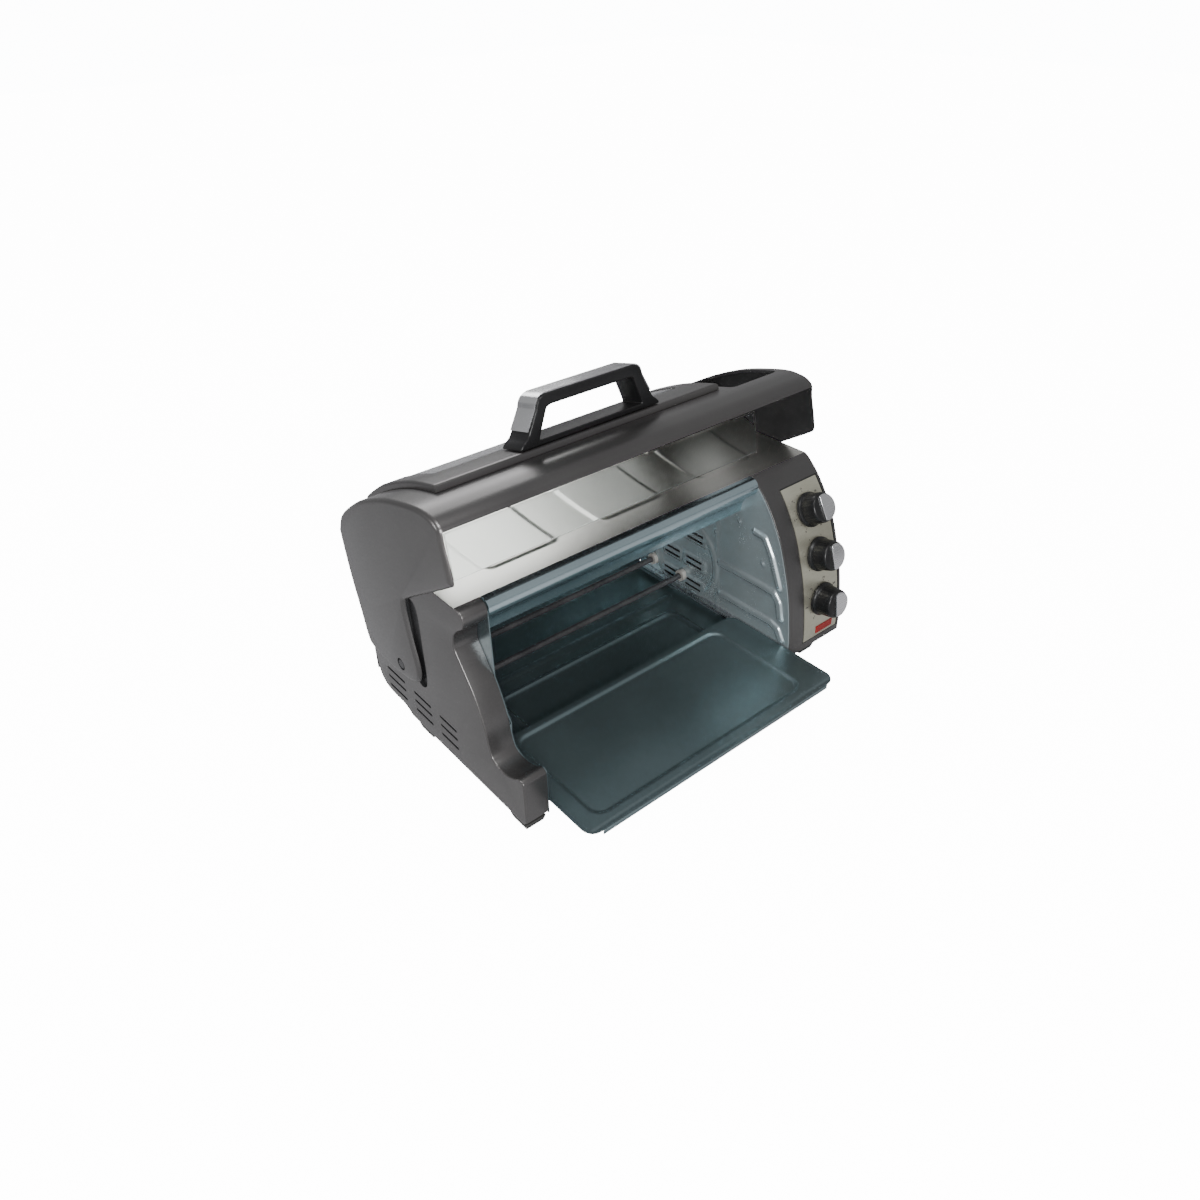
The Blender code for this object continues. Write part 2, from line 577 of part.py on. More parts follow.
def build_handle():
    """A closed loop that stands on the bezel, with a bright strip let into its outer face."""
    spot, along = place_on(DOOR_CURVE, side((24, 0))[0].x)
    lean = math.radians(HANDLE_LEAN)
    normal = Vector((-along.y, along.x))
    foot = spot + normal * (BEZEL_RISE + 2 * GAP)
    centre = (-SKIN_HALF + 0.026 + RIGHT_WALL) / 2 + HANDLE_OFFSET
    up = Vector((0, math.sin(lean), math.cos(lean)))
    span, rise = HANDLE_HALF_SPAN, HANDLE_RISE - INSERT_THICK - GAP
    half = [(span, 0), (span - 0.003, 0.005), (span - 0.011, 0.012), (span - 0.022, rise - 0.010),
            (span - 0.026, rise - 0.002), (span - 0.031, rise)]
    hole = [(span - 0.022, 0.0055), (span - 0.033, rise - 0.014), (span - 0.037, rise - 0.0110)]
    travel = Vector((0, along.x, along.y)) * HANDLE_DEPTH

    def loop(points, back=0.0):
        both = points + [(-x, v) for x, v in reversed(points)]
        start = Vector((centre, foot.x, foot.y)) - travel * back
        return [start + Vector((x, 0, 0)) + up * v for x, v in both]

    bm = extrude(bmesh.new(), loop(half), travel)
    body = add("handle_body", bm, BLACK, DOOR)
    bm = extrude(bmesh.new(), loop(hole, 0.5), travel * 2)
    cut(body, add("handle_hole", bm, None, DOOR))
    outer = half[2:]
    outer[0] = (half[2][0] - 0.0011, half[2][1] + 0.0027)
    strip = [(x + GAP, v + GAP) for x, v in outer]
    skin = [(x + GAP + INSERT_THICK, v + GAP) for x, v in outer]
    bend = (outer[-2][0] + INSERT_THICK, outer[-2][1] + INSERT_THICK)
    skin[-2:] = [bend, (outer[-1][0] + 0.001, rise + GAP + INSERT_THICK)]
    ring = strip + [(-x, v) for x, v in reversed(strip)] + [(-x, v) for x, v in skin] + skin[::-1]
    start = Vector((centre, foot.x, foot.y)) + travel * 0.04
    bm = extrude(bmesh.new(), [start + Vector((x, 0, 0)) + up * v for x, v in ring], travel * 0.92)
    add("handle_insert", bm, SILVER, DOOR)
    under = spot - normal * (SKIN + GAP) + Vector(along) * HANDLE_DEPTH * 0.4
    reach = span - 0.010
    for name, x in ("handle_screw_left", centre - reach), ("handle_screw_right", centre + reach):
        cylinder(name, (x, *under), (x, *(under - normal * 0.0030)), 0.0042, STEEL, DOOR, 12)


def build_all():
    build_left_cap()
    housing = build_right_side()
    build_sheets()
    build_rear()
    build_feet()
    build_elements()
    build_fan()
    build_rails()
    build_tray()
    build_controls(housing)
    build_arms()
    build_skin()
    build_handle()


clear_scene()
GUNMETAL = material("gunmetal_paint", (0.105, 0.098, 0.098), 0.36, 0.75)
BLACK = material("black_plastic", (0.012, 0.012, 0.013), 0.38)
CHAMPAGNE = material("champagne_steel", (0.47, 0.44, 0.38), 0.34, 0.9)
POLISHED = material("polished_steel", (0.60, 0.59, 0.56), 0.18, 1.0)
GALVANISED = material("galvanised_sheet", (0.22, 0.27, 0.29), 0.33, 0.9)
STEEL = material("plain_steel", (0.45, 0.45, 0.46), 0.35, 1.0)
SILVER = material("brushed_aluminium", (0.72, 0.72, 0.73), 0.28, 1.0)
QUARTZ = material("element_sheath", (0.07, 0.07, 0.075), 0.5, 0.6)
IVORY = material("ceramic_and_switches", (0.62, 0.60, 0.54), 0.6)
RED = material("red_lens", (0.45, 0.02, 0.02), 0.2)
CLEAR = material("clear_glass", (0.90, 0.95, 0.95), 0.03, 0.0, 1.0)
TRAY_FRONT = side((-118.5, 0))[0].x - TRAY_OUT - 0.0008
DOOR_BACK = DOOR_CURVE[-1].x
OVEN = empty("oven", (0, -(TRAY_FRONT + DOOR_BACK) / 2, 0))
DOOR = empty("door_axis", (0, *PIVOT), OVEN)
build_all()
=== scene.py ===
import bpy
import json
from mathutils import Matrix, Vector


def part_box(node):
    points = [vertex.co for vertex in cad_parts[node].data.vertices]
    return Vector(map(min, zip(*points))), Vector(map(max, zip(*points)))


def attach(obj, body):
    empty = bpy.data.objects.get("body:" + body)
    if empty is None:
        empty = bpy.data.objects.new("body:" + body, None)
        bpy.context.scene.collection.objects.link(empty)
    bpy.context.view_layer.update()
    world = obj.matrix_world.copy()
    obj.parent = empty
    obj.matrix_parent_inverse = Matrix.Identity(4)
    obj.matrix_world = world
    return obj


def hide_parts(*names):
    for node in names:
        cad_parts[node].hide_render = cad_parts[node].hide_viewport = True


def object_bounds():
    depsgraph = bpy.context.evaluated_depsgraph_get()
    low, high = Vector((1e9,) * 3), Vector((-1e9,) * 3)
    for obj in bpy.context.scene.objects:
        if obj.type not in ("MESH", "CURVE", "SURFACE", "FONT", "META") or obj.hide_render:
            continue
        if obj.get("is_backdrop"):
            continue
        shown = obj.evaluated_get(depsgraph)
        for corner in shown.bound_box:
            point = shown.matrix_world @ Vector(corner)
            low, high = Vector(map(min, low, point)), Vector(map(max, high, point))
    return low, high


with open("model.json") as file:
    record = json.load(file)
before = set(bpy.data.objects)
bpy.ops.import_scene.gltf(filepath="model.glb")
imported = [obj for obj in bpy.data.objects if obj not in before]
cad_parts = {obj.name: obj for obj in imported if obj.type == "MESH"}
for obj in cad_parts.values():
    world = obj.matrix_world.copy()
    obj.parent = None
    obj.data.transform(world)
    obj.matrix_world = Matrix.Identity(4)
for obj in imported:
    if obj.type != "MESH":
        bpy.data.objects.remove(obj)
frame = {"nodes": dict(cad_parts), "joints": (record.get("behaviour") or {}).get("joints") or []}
cad_box = [list(corner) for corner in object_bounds()]

import json
import math

import bmesh
import bpy
from mathutils import Matrix, Vector

# ---------------------------------------------------------------------------------------------
# The studio: a pale floor, a pale sky, and a camera that stands to the left, above the oven.
# Large soft lamps give the long quiet highlights that sheet metal needs.
hinge = next(joint for joint in frame["joints"] if joint["name"] == "door_hinge")
AXIS_Y, AXIS_Z = hinge["pos_m"][1], hinge["pos_m"][2]

camera = bpy.data.objects.new("camera", bpy.data.cameras.new("camera"))
camera.data.sensor_width = 36
camera.data.lens = 28.59
yaw, pitch, roll = math.radians(39.448), math.radians(34.829), math.radians(-0.794)
ahead = Vector((math.sin(yaw) * math.cos(pitch), math.cos(yaw) * math.cos(pitch), -math.sin(pitch)))
level = Vector((math.cos(yaw), -math.sin(yaw), 0))
upward = level.cross(ahead)
right = math.cos(roll) * level + math.sin(roll) * upward
top = math.cos(roll) * upward - math.sin(roll) * level
camera.matrix_world = Matrix((right, top, -ahead)).transposed().to_4x4()
camera.location = (-0.5579, AXIS_Y - 0.7092, 0.6801)
bpy.context.scene.collection.objects.link(camera)
bpy.context.scene.camera = camera

backdrop_glow = 14
floor_mesh = bpy.data.meshes.new("studio_floor")
shape = bmesh.new()
bmesh.ops.create_grid(shape, x_segments=1, y_segments=1, size=6)
shape.to_mesh(floor_mesh)
shape.free()
floor = bpy.data.objects.new("studio_floor", floor_mesh)
bpy.context.scene.collection.objects.link(floor)
pale = bpy.data.materials.new("pale_floor")
pale.use_nodes = True
pale_shader = pale.node_tree.nodes["Principled BSDF"]
pale_shader.inputs["Base Color"].default_value = (0.42, 0.42, 0.43, 1)
pale_shader.inputs["Roughness"].default_value = 0.9
pale_shader.inputs["Specular IOR Level"].default_value = 0.1
pale_shader.inputs["Emission Color"].default_value = (1, 1, 1, 1)
seen = pale.node_tree.nodes.new("ShaderNodeLightPath")
glow = pale.node_tree.nodes.new("ShaderNodeMath")
glow.operation = "MULTIPLY"
glow.inputs[1].default_value = backdrop_glow
pale.node_tree.links.new(seen.outputs["Is Camera Ray"], glow.inputs[0])
pale.node_tree.links.new(glow.outputs[0], pale_shader.inputs["Emission Strength"])
floor_mesh.materials.append(pale)
floor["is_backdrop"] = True

sky = bpy.data.worlds.new("studio_sky")
sky.use_nodes = True
backdrop = sky.node_tree.nodes["Background"]
backdrop.inputs["Color"].default_value = (0.97, 0.985, 1, 1)
sky_seen = sky.node_tree.nodes.new("ShaderNodeLightPath")
sky_glow = sky.node_tree.nodes.new("ShaderNodeMapRange")
sky_glow.inputs["To Min"].default_value = 0.42
sky_glow.inputs["To Max"].default_value = backdrop_glow
sky.node_tree.links.new(sky_seen.outputs["Is Camera Ray"], sky_glow.inputs["Value"])
sky.node_tree.links.new(sky_glow.outputs["Result"], backdrop.inputs["Strength"])
bpy.context.scene.world = sky

for name, spot, aim, size, watts in (
        ("lamp_back", (0.45, 1.5, 1.2), (0, 0, 0.2), 0.95, 12),
        ("lamp_front", (-0.75, -1.25, 0.75), (0.12, 0, 0.08), 0.55, 30),
        ("lamp_over", (-0.5, -0.3, 1.7), (0, 0, 0.15), 0.45, 16),
        ("lamp_left", (-1.7, 0.5, 0.8), (-0.2, 0, 0.15), 0.35, 9)):
    lamp = bpy.data.objects.new(name, bpy.data.lights.new(name, "AREA"))
    lamp.data.size = size
    lamp.data.energy = watts
    lamp.location = spot
    lamp.rotation_euler = (Vector(aim) - Vector(spot)).to_track_quat("-Z", "Y").to_euler()
    bpy.context.scene.collection.objects.link(lamp)

# ---------------------------------------------------------------------------------------------
# The door shell: one moulding in dark metallic paint, a curved top with two flat arms, its inside and cut
# faces painted near-black as painted shade.
# Its outer edges are rounded, it has a window opening and a cut-out that leaves the controls in view,
# and each arm turns on a pin low at the back of the body.


def mm(*points):
    """Side-view points in millimetres from the table, as (y, z) in metres around the door's axis."""
    return [Vector((AXIS_Y + (y - 82) / 1000, AXIS_Z + (z - 81) / 1000)) for y, z in points]


def smooth(points, steps):
    """A soft curve through the points."""
    ends = [points[0] * 2 - points[1]] + list(points) + [points[-1] * 2 - points[-2]]
    found = []
    for a, b, c, d in zip(ends, ends[1:], ends[2:], ends[3:]):
        for step in range(steps):
            t = step / steps
            found.append((b * 2 + (c - a) * t + (a * 2 - b * 5 + c * 4 - d) * t * t
                          + (b * 3 - a - c * 3 + d) * t * t * t) / 2)
    return found + [points[-1].copy()]


def shifted(curve, distance):
    """A curve moved to its right-hand side, seen along it."""
    found = []
    for i, point in enumerate(curve):
        along = (curve[min(i + 1, len(curve) - 1)] - curve[max(i - 1, 0)]).normalized()
        found.append(point + Vector((along.y, -along.x)) * distance)
    return found


def thicken(bm, faces, way):
    """Pulls flat faces out into a solid whose faces point outwards."""
    swept = bmesh.ops.extrude_face_region(bm, geom=faces, use_keep_orig=True)
    moved = [item for item in swept["geom"] if isinstance(item, bmesh.types.BMVert)]
    bmesh.ops.translate(bm, verts=moved, vec=way)
    bmesh.ops.recalc_face_normals(bm, faces=bm.faces)
    return bm


def slab(outline, left, right):
    """A side-view outline given thickness from one x to another."""
    bm = bmesh.new()
    face = bm.faces.new([bm.verts.new((left, point.x, point.y)) for point in outline])
    return thicken(bm, [face], (right - left, 0, 0))


def block(low, high):
    """A square block between two corners."""
    bm = bmesh.new()
    cube = bmesh.ops.create_cube(bm, size=1)["verts"]
    size = Vector(high) - Vector(low)
    bmesh.ops.scale(bm, verts=cube, vec=size)
    bmesh.ops.translate(bm, verts=cube, vec=Vector(low) + size / 2)
    return bm


def round_edges(bm, chosen, width, segments):
    """Rounds the edges that a test picks."""
    picked = [edge for edge in bm.edges if len(edge.link_faces) == 2 and chosen(edge)]
    bmesh.ops.bevel(bm, geom=picked, offset=width, segments=segments, affect="EDGES", profile=0.5,
                    material=-1, clamp_overlap=True)
    return bm


def at_x(edge, x):
    return all(abs(vert.co.x - x) < 1e-5 for vert in edge.verts)


def object_from(name, bm, *looks):
    """Makes a piece from its mesh, with one material slot for each look."""
    mesh = bpy.data.meshes.new(name)
    bm.to_mesh(mesh)
    bm.free()
    for look in looks:
        mesh.materials.append(look)
    obj = bpy.data.objects.new(name, mesh)
    bpy.context.scene.collection.objects.link(obj)
    return obj


def settle(obj):
    """Turns the object's modifiers into its mesh."""
    graph = bpy.context.evaluated_depsgraph_get()
    mesh = bpy.data.meshes.new_from_object(obj.evaluated_get(graph))
    obj.modifiers.clear()
    old = obj.data
    obj.data = mesh
    bpy.data.meshes.remove(old)
    return obj


def carve(obj, bm, operation="DIFFERENCE", inner=0):
    """Cuts a shape out of a piece, or joins it on. The cut faces take the piece's material slot `inner`."""
    for face in bm.faces:
        face.material_index = inner
    tool = object_from("tool", bm)
    for material in obj.data.materials:
        tool.data.materials.append(material)
    change = obj.modifiers.new("carve", "BOOLEAN")
    change.operation = operation
    change.object = tool
    settle(obj)
    bpy.data.objects.remove(tool)
    return obj


def place(obj, body, slot, *nodes, angle=32):
    """Shades the piece, and ties it to its body and the nodes that it stands for. The finish given as `slot`
    is not used.
    """
    bm = bmesh.new()
    bm.from_mesh(obj.data)
    bmesh.ops.remove_doubles(bm, verts=bm.verts, dist=2e-6)
    bmesh.ops.dissolve_degenerate(bm, edges=bm.edges, dist=1e-6)
    bm.to_mesh(obj.data)
    bm.free()
    obj.data.shade_smooth()
    obj.data.set_sharp_from_angle(angle=math.radians(angle))
    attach(obj, body)
    if nodes:
        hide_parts(*nodes)
    return obj


def finish_group():
    """One surface effect for every finish: fine grain, broad mottling and a little dust of tone."""
    group = bpy.data.node_groups.new("surface_finish", "ShaderNodeTree")
    for name, kind, value in (("Colour", "NodeSocketColor", (0.5, 0.5, 0.5, 1)),
                              ("Second", "NodeSocketColor", (0.4, 0.4, 0.4, 1)),
                              ("Roughness", "NodeSocketFloat", 0.4), ("Uneven", "NodeSocketFloat", 0.1),
                              ("Stretch", "NodeSocketVector", (1, 1, 1)), ("Grain", "NodeSocketFloat", 900.0),
                              ("Depth", "NodeSocketFloat", 0.1), ("Patches", "NodeSocketFloat", 18.0)):
        socket = group.interface.new_socket(name=name, in_out="INPUT", socket_type=kind)
        socket.default_value = value
    for name, kind in (("Colour", "NodeSocketColor"), ("Roughness", "NodeSocketFloat"),
                       ("Normal", "NodeSocketVector")):
        group.interface.new_socket(name=name, in_out="OUTPUT", socket_type=kind)
    nodes, links = group.nodes, group.links
    given, out = nodes.new("NodeGroupInput"), nodes.new("NodeGroupOutput")
    place_node, stretch = nodes.new("ShaderNodeTexCoord"), nodes.new("ShaderNodeMapping")
    links.new(place_node.outputs["Object"], stretch.inputs["Vector"])
    links.new(given.outputs["Stretch"], stretch.inputs["Scale"])
    fine, broad = nodes.new("ShaderNodeTexNoise"), nodes.new("ShaderNodeTexNoise")
    fine.inputs["Detail"].default_value = 2
    broad.inputs["Detail"].default_value = 4
    links.new(stretch.outputs["Vector"], fine.inputs["Vector"])
    links.new(place_node.outputs["Object"], broad.inputs["Vector"])
    links.new(given.outputs["Grain"], fine.inputs["Scale"])
    links.new(given.outputs["Patches"], broad.inputs["Scale"])
    both = nodes.new("ShaderNodeMath")
    both.operation = "MULTIPLY_ADD"
    both.inputs[1].default_value = 0.6
    links.new(broad.outputs["Fac"], both.inputs[0])
    half = nodes.new("ShaderNodeMath")
    half.operation = "MULTIPLY"
    half.inputs[1].default_value = 0.4
    links.new(fine.outputs["Fac"], half.inputs[0])
    links.new(half.outputs[0], both.inputs[2])
    spread = nodes.new("ShaderNodeMapRange")
    spread.inputs["From Min"].default_value = 0.36
    spread.inputs["From Max"].default_value = 0.64
    links.new(both.outputs[0], spread.inputs["Value"])
    tone = nodes.new("ShaderNodeMix")
    tone.data_type = "RGBA"
    links.new(spread.outputs["Result"], tone.inputs["Factor"])
    links.new(given.outputs["Colour"], tone.inputs["A"])
    links.new(given.outputs["Second"], tone.inputs["B"])
    links.new(tone.outputs["Result"], out.inputs["Colour"])
    centred = nodes.new("ShaderNodeMath")
    centred.operation = "SUBTRACT"
    centred.inputs[1].default_value = 0.5
    links.new(spread.outputs["Result"], centred.inputs[0])
    rough = nodes.new("ShaderNodeMath")
    rough.operation = "MULTIPLY_ADD"
    links.new(centred.outputs[0], rough.inputs[0])
    links.new(given.outputs["Uneven"], rough.inputs[1])
    links.new(given.outputs["Roughness"], rough.inputs[2])
    links.new(rough.outputs[0], out.inputs["Roughness"])
    bump = nodes.new("ShaderNodeBump")
    bump.inputs["Distance"].default_value = 0.0002
    links.new(given.outputs["Depth"], bump.inputs["Strength"])
    links.new(fine.outputs["Fac"], bump.inputs["Height"])
    links.new(bump.outputs["Normal"], out.inputs["Normal"])
    return group


surface_finish = finish_group()


def finish(name, colour, second, roughness, uneven, metallic=0.0, stretch=(1, 1, 1), grain=900, depth=0.1,
           patches=18, **more):
    """A material that wears the shared surface effect with its own values."""
    made = bpy.data.materials.new(name)
    made.use_nodes = True
    tree = made.node_tree
    shader = tree.nodes["Principled BSDF"]
    effect = tree.nodes.new("ShaderNodeGroup")
    effect.node_tree = surface_finish
    for socket, value in (("Colour", (*colour, 1)), ("Second", (*second, 1)), ("Roughness", roughness),
                          ("Uneven", uneven), ("Stretch", stretch), ("Grain", grain), ("Depth", depth),
                          ("Patches", patches)):
        effect.inputs[socket].default_value = value
    for source, target in (("Colour", "Base Color"), ("Roughness", "Roughness"), ("Normal", "Normal")):
        tree.links.new(effect.outputs[source], shader.inputs[target])
    shader.inputs["Metallic"].default_value = metallic
    for socket, value in more.items():
        shader.inputs[socket.replace("_", " ")].default_value = value
    return made


gunmetal = finish("gunmetal_paint", (0.080, 0.077, 0.077), (0.104, 0.100, 0.099), 0.34, 0.08, 0.82,
                  grain=2600, depth=0.10, patches=9, Coat_Weight=0.25, Coat_Roughness=0.22)
# Painted shade: a near-black finish for the insides, hollows, slots and cut faces of the mouldings, where
# shade falls.
painted_shade_lining = finish("painted_shade_lining", (0.010, 0.010, 0.011), (0.018, 0.018, 0.019), 0.45, 0.15, grain=1400,
                      depth=0.25)

door_curve = smooth(mm((-29.5, 283), (-27, 287), (-20, 291), (-11, 292.5), (4.5, 292.5), (30, 287),
                       (68, 275.5), (111, 256), (136, 241), (165, 218), (176, 198)), 4)
arm_back = smooth(mm((176, 198), (174, 179), (169, 145), (160, 106), (154, 78), (144, 66.5), (109, 63.5),
                     (78, 65.5), (57, 71), (47.5, 82), (46, 98), (53, 128), (57.5, 155)), 3)
arm_front = smooth(mm((57.5, 155), (57, 169), (47, 178.5), (-1, 210), (-33, 231), (-38.6, 236.5),
                      (-38.3, 243), (-35, 257), (-31.5, 269), (-30, 277)), 3)
arm_out, arm_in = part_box("door_arm_right")[1].x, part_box("door_arm_right")[0].x
skin = 0.003
arm_round = 0.0055

door_outline = (door_curve + arm_back[1:] + arm_front[1:])[::-1]
shell = slab(door_outline, -arm_out, arm_out)
round_edges(shell, lambda edge: at_x(edge, arm_out) or at_x(edge, -arm_out), arm_round, 4)
# Its second slot is painted shade: the near-black finish on the inside and the cut faces.
door_shell = object_from("door_shell", shell, gunmetal, painted_shade_lining)
lip, heel = mm((-70, 283.2), (230, 190))
below = -0.05
inner_curve = [lip, Vector((door_curve[0].x + skin, lip.y))] + shifted(door_curve, skin)[1:]
inner_curve += [heel, Vector((heel.x, below)), Vector((lip.x, below))]
carve(door_shell, slab(inner_curve[::-1], -arm_in, arm_in), inner=1)


def plan_cutter(x0, x1, y0, y1, z0, z1, corner):
    """An upright block with rounded corners in plan."""
    bm = block((x0, y0, z0), (x1, y1, z1))
    return round_edges(bm, lambda edge: abs(edge.verts[0].co.z - edge.verts[1].co.z) > 0.01, corner, 5)


bezel_low, bezel_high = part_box("door_bezel")
rail, front_rail, rear_rail = 0.022, 0.0355, 0.018
window_corner, notch_corner = 0.008, 0.007
through_top = 0.215, 0.33
carve(door_shell, plan_cutter(bezel_low.x + rail, bezel_high.x - rail, bezel_low.y + front_rail,
                              bezel_high.y - rear_rail, *through_top, window_corner), inner=1)
carve(door_shell, plan_cutter(bezel_high.x + 0.010, arm_in - 0.009, AXIS_Y - 0.070, AXIS_Y + 0.026,
                              *through_top, notch_corner), inner=1)
pin_clearance = 0.0068
for x in (-arm_out, arm_out):
    pivot = Matrix.Translation((x, AXIS_Y, AXIS_Z)) @ Matrix.Rotation(math.pi / 2, 4, "Y")
    pin_hole = bmesh.new()
    bmesh.ops.create_cone(pin_hole, cap_ends=True, segments=40, radius1=pin_clearance,
                          radius2=pin_clearance, depth=0.03, matrix=pivot)
    carve(door_shell, pin_hole, inner=1)
place(door_shell, "door", "gunmetal", "door_skin", "door_arm_left", "door_arm_right")

# ---------------------------------------------------------------------------------------------
# The window bezel: a raised frame around the curved glass, in the same paint, with soft edges. It is
# moulded flat here and then laid along the curve of the door.


def lay_on(bm, curve, start=0.0):
    """Bends flat work onto a curve: y runs along it, z stands off it, and x stays."""
    lengths = [0.0]
    for a, b in zip(curve, curve[1:]):
        lengths.append(lengths[-1] + (b - a).length)
    for vert in bm.verts:
        run = min(max(vert.co.y + start, 0.0), lengths[-1] - 1e-7)
        i = next(k for k in range(len(curve) - 1) if lengths[k + 1] > run)
        t = (run - lengths[i]) / (lengths[i + 1] - lengths[i])
        point = curve[i].lerp(curve[i + 1], t)
        one = (curve[min(i + 1, len(curve) - 1)] - curve[max(i - 1, 0)]).normalized()
        two = (curve[min(i + 2, len(curve) - 1)] - curve[i]).normalized()
        along = one.lerp(two, t).normalized()
        point = point + Vector((-along.y, along.x)) * vert.co.z
        vert.co = (vert.co.x, point.x, point.y)
    return bm


def run_to(curve, y):
    """How far along the curve it reaches this y."""
    run = 0.0
    for a, b in zip(curve, curve[1:]):
        if (a.x - y) * (b.x - y) <= 0 and b.x != a.x:
            return run + (b - a).length * (y - a.x) / (b.x - a.x)
        run += (b - a).length
    return run


def slice_along(bm, low, high, count):
    """Cuts flat work across y, so that it can bend."""
    for step in range(1, count):
        y = low + (high - low) * step / count
        geometry = bm.verts[:] + bm.edges[:] + bm.faces[:]
        bmesh.ops.bisect_plane(bm, geom=geometry, dist=1e-6, plane_co=(0, y, 0), plane_no=(0, 1, 0))
    return bm


gentle = door_curve[4:]
bezel_start, bezel_end = run_to(gentle, AXIS_Y - 0.060), run_to(gentle, AXIS_Y + 0.0785)
pane_start, pane_end = run_to(gentle, AXIS_Y - 0.0244), bezel_end - rail * 0.7
bezel_foot, bezel_top, bezel_corner, bezel_round = 0.0003, 0.0071, 0.012, 0.0032
ring = plan_cutter(bezel_low.x, bezel_high.x, bezel_start, bezel_end, bezel_foot, bezel_top, bezel_corner)
upper = max(vert.co.z for vert in ring.verts)
round_edges(ring, lambda edge: all(vert.co.z > upper - 1e-5 for vert in edge.verts), bezel_round, 3)
bezel = object_from("window_bezel", ring, gunmetal)
carve(bezel, plan_cutter(bezel_low.x + rail, bezel_high.x - rail, pane_start, pane_end, -0.02, 0.02,
                         window_corner))
flat = bmesh.new()
flat.from_mesh(bezel.data)
bmesh.ops.remove_doubles(flat, verts=flat.verts, dist=1e-6)
slice_along(flat, bezel_start, bezel_end, 28)
lay_on(flat, gentle)
flat.to_mesh(bezel.data)
flat.free()
place(bezel, "door", "gunmetal", "door_bezel")

# ---------------------------------------------------------------------------------------------
# The glass: a curved window of clear toughened glass, let into the bezel a little below its rim, and
# a low straight pane under the front lip that closes the door's foot.


def clear_glass(name, bending):
    """Clear glass with a faint waviness, bending light by this much."""
    made = bpy.data.materials.new(name)
    made.use_nodes = True
    shader = made.node_tree.nodes["Principled BSDF"]
    for socket, value in (("Base Color", (0.95, 0.975, 0.975, 1)), ("Roughness", 0.02), ("IOR", bending),
                          ("Transmission Weight", 1.0), ("Metallic", 0.0)):
        shader.inputs[socket].default_value = value
    tree = made.node_tree
    place_node, smear, bump = (tree.nodes.new(kind) for kind in
                               ("ShaderNodeTexCoord", "ShaderNodeTexNoise", "ShaderNodeBump"))
    smear.inputs["Scale"].default_value = 22
    bump.inputs["Strength"].default_value = 0.02
    bump.inputs["Distance"].default_value = 0.0004
    tree.links.new(place_node.outputs["Object"], smear.inputs["Vector"])
    tree.links.new(smear.outputs["Fac"], bump.inputs["Height"])
    tree.links.new(bump.outputs["Normal"], shader.inputs["Normal"])
    return made


glass = clear_glass("clear_glass", 1.45)
thin_pane = clear_glass("clear_pane", 1.08)
edge_gap = 0.0003
pane_back, pane_face, pane_corner = 0.0035, 0.0064, 0.0078
pane = plan_cutter(bezel_low.x + rail + edge_gap, bezel_high.x - rail - edge_gap, pane_start + edge_gap,
                   pane_end - edge_gap, pane_back, pane_face, pane_corner)
slice_along(pane, pane_start, pane_end, 24)
window = object_from("window_glass", lay_on(pane, gentle), glass)
place(window, "door", "clear_glass", "door_window_glass")

low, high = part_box("door_lower_glass")
foot = mm((-29.9, 281.4), (-37.5, 239))
pane_thickness = 0.0022
lower = slab(foot + shifted(foot, -pane_thickness)[::-1], low.x + 0.001, high.x)
round_edges(lower, lambda edge: True, 0.0006, 2)
lower_glass = object_from("lower_glass", lower, thin_pane)
place(lower_glass, "door", "clear_glass", "door_lower_glass")

# ---------------------------------------------------------------------------------------------
# The handle: a black moulded loop with flared feet, screwed to the front rail of the bezel, and a
# bright brushed strip wrapped over its outer face.
black = finish("black_plastic", (0.006, 0.006, 0.0065), (0.011, 0.011, 0.0115), 0.33, 0.12, grain=1500,
               depth=0.12, Specular_IOR_Level=0.3)
aluminium = finish("brushed_aluminium", (0.70, 0.70, 0.71), (0.80, 0.80, 0.81), 0.25, 0.16, 1.0,
                   stretch=(0.03, 1, 1), grain=2600, depth=0.22, patches=14)
handle_low, handle_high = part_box("handle_body")
span, middle = (handle_high.x - handle_low.x) / 2, (handle_high.x + handle_low.x) / 2
lean, rise, grip_depth, bezel_height = math.radians(4), 0.0467, 0.032, 0.0077
base_run = run_to(gentle, AXIS_Y - 0.058)
walk, spot = 0.0, gentle[0]
for a, b in zip(gentle, gentle[1:]):
    if walk <= base_run < walk + (b - a).length:
        spot, along = a.lerp(b, (base_run - walk) / (b - a).length), (b - a).normalized()
    walk += (b - a).length
normal = Vector((-along.y, along.x))
start = Vector((middle, *(spot + normal * bezel_height)))
stand, back = Vector((0, math.sin(lean), math.cos(lean))), Vector((0, along.x, along.y))


def both_sides(points):
    """Half an outline and its mirror image, as one."""
    return points + [(-x, v) for x, v in reversed(points)]


def loop_slab(outline, near, far):
    """A shape drawn in the handle's own plane, given depth from front to back."""
    bm = bmesh.new()
    corners = [start + Vector((x, 0, 0)) + stand * v + back * near for x, v in outline]
    face = bm.faces.new([bm.verts.new(corner) for corner in corners])
    return thicken(bm, [face], back * (far - near))


def rounded(points, steps):
    """A soft curve through flat points."""
    return [(point.x, point.y) for point in smooth([Vector(point) for point in points], steps)]


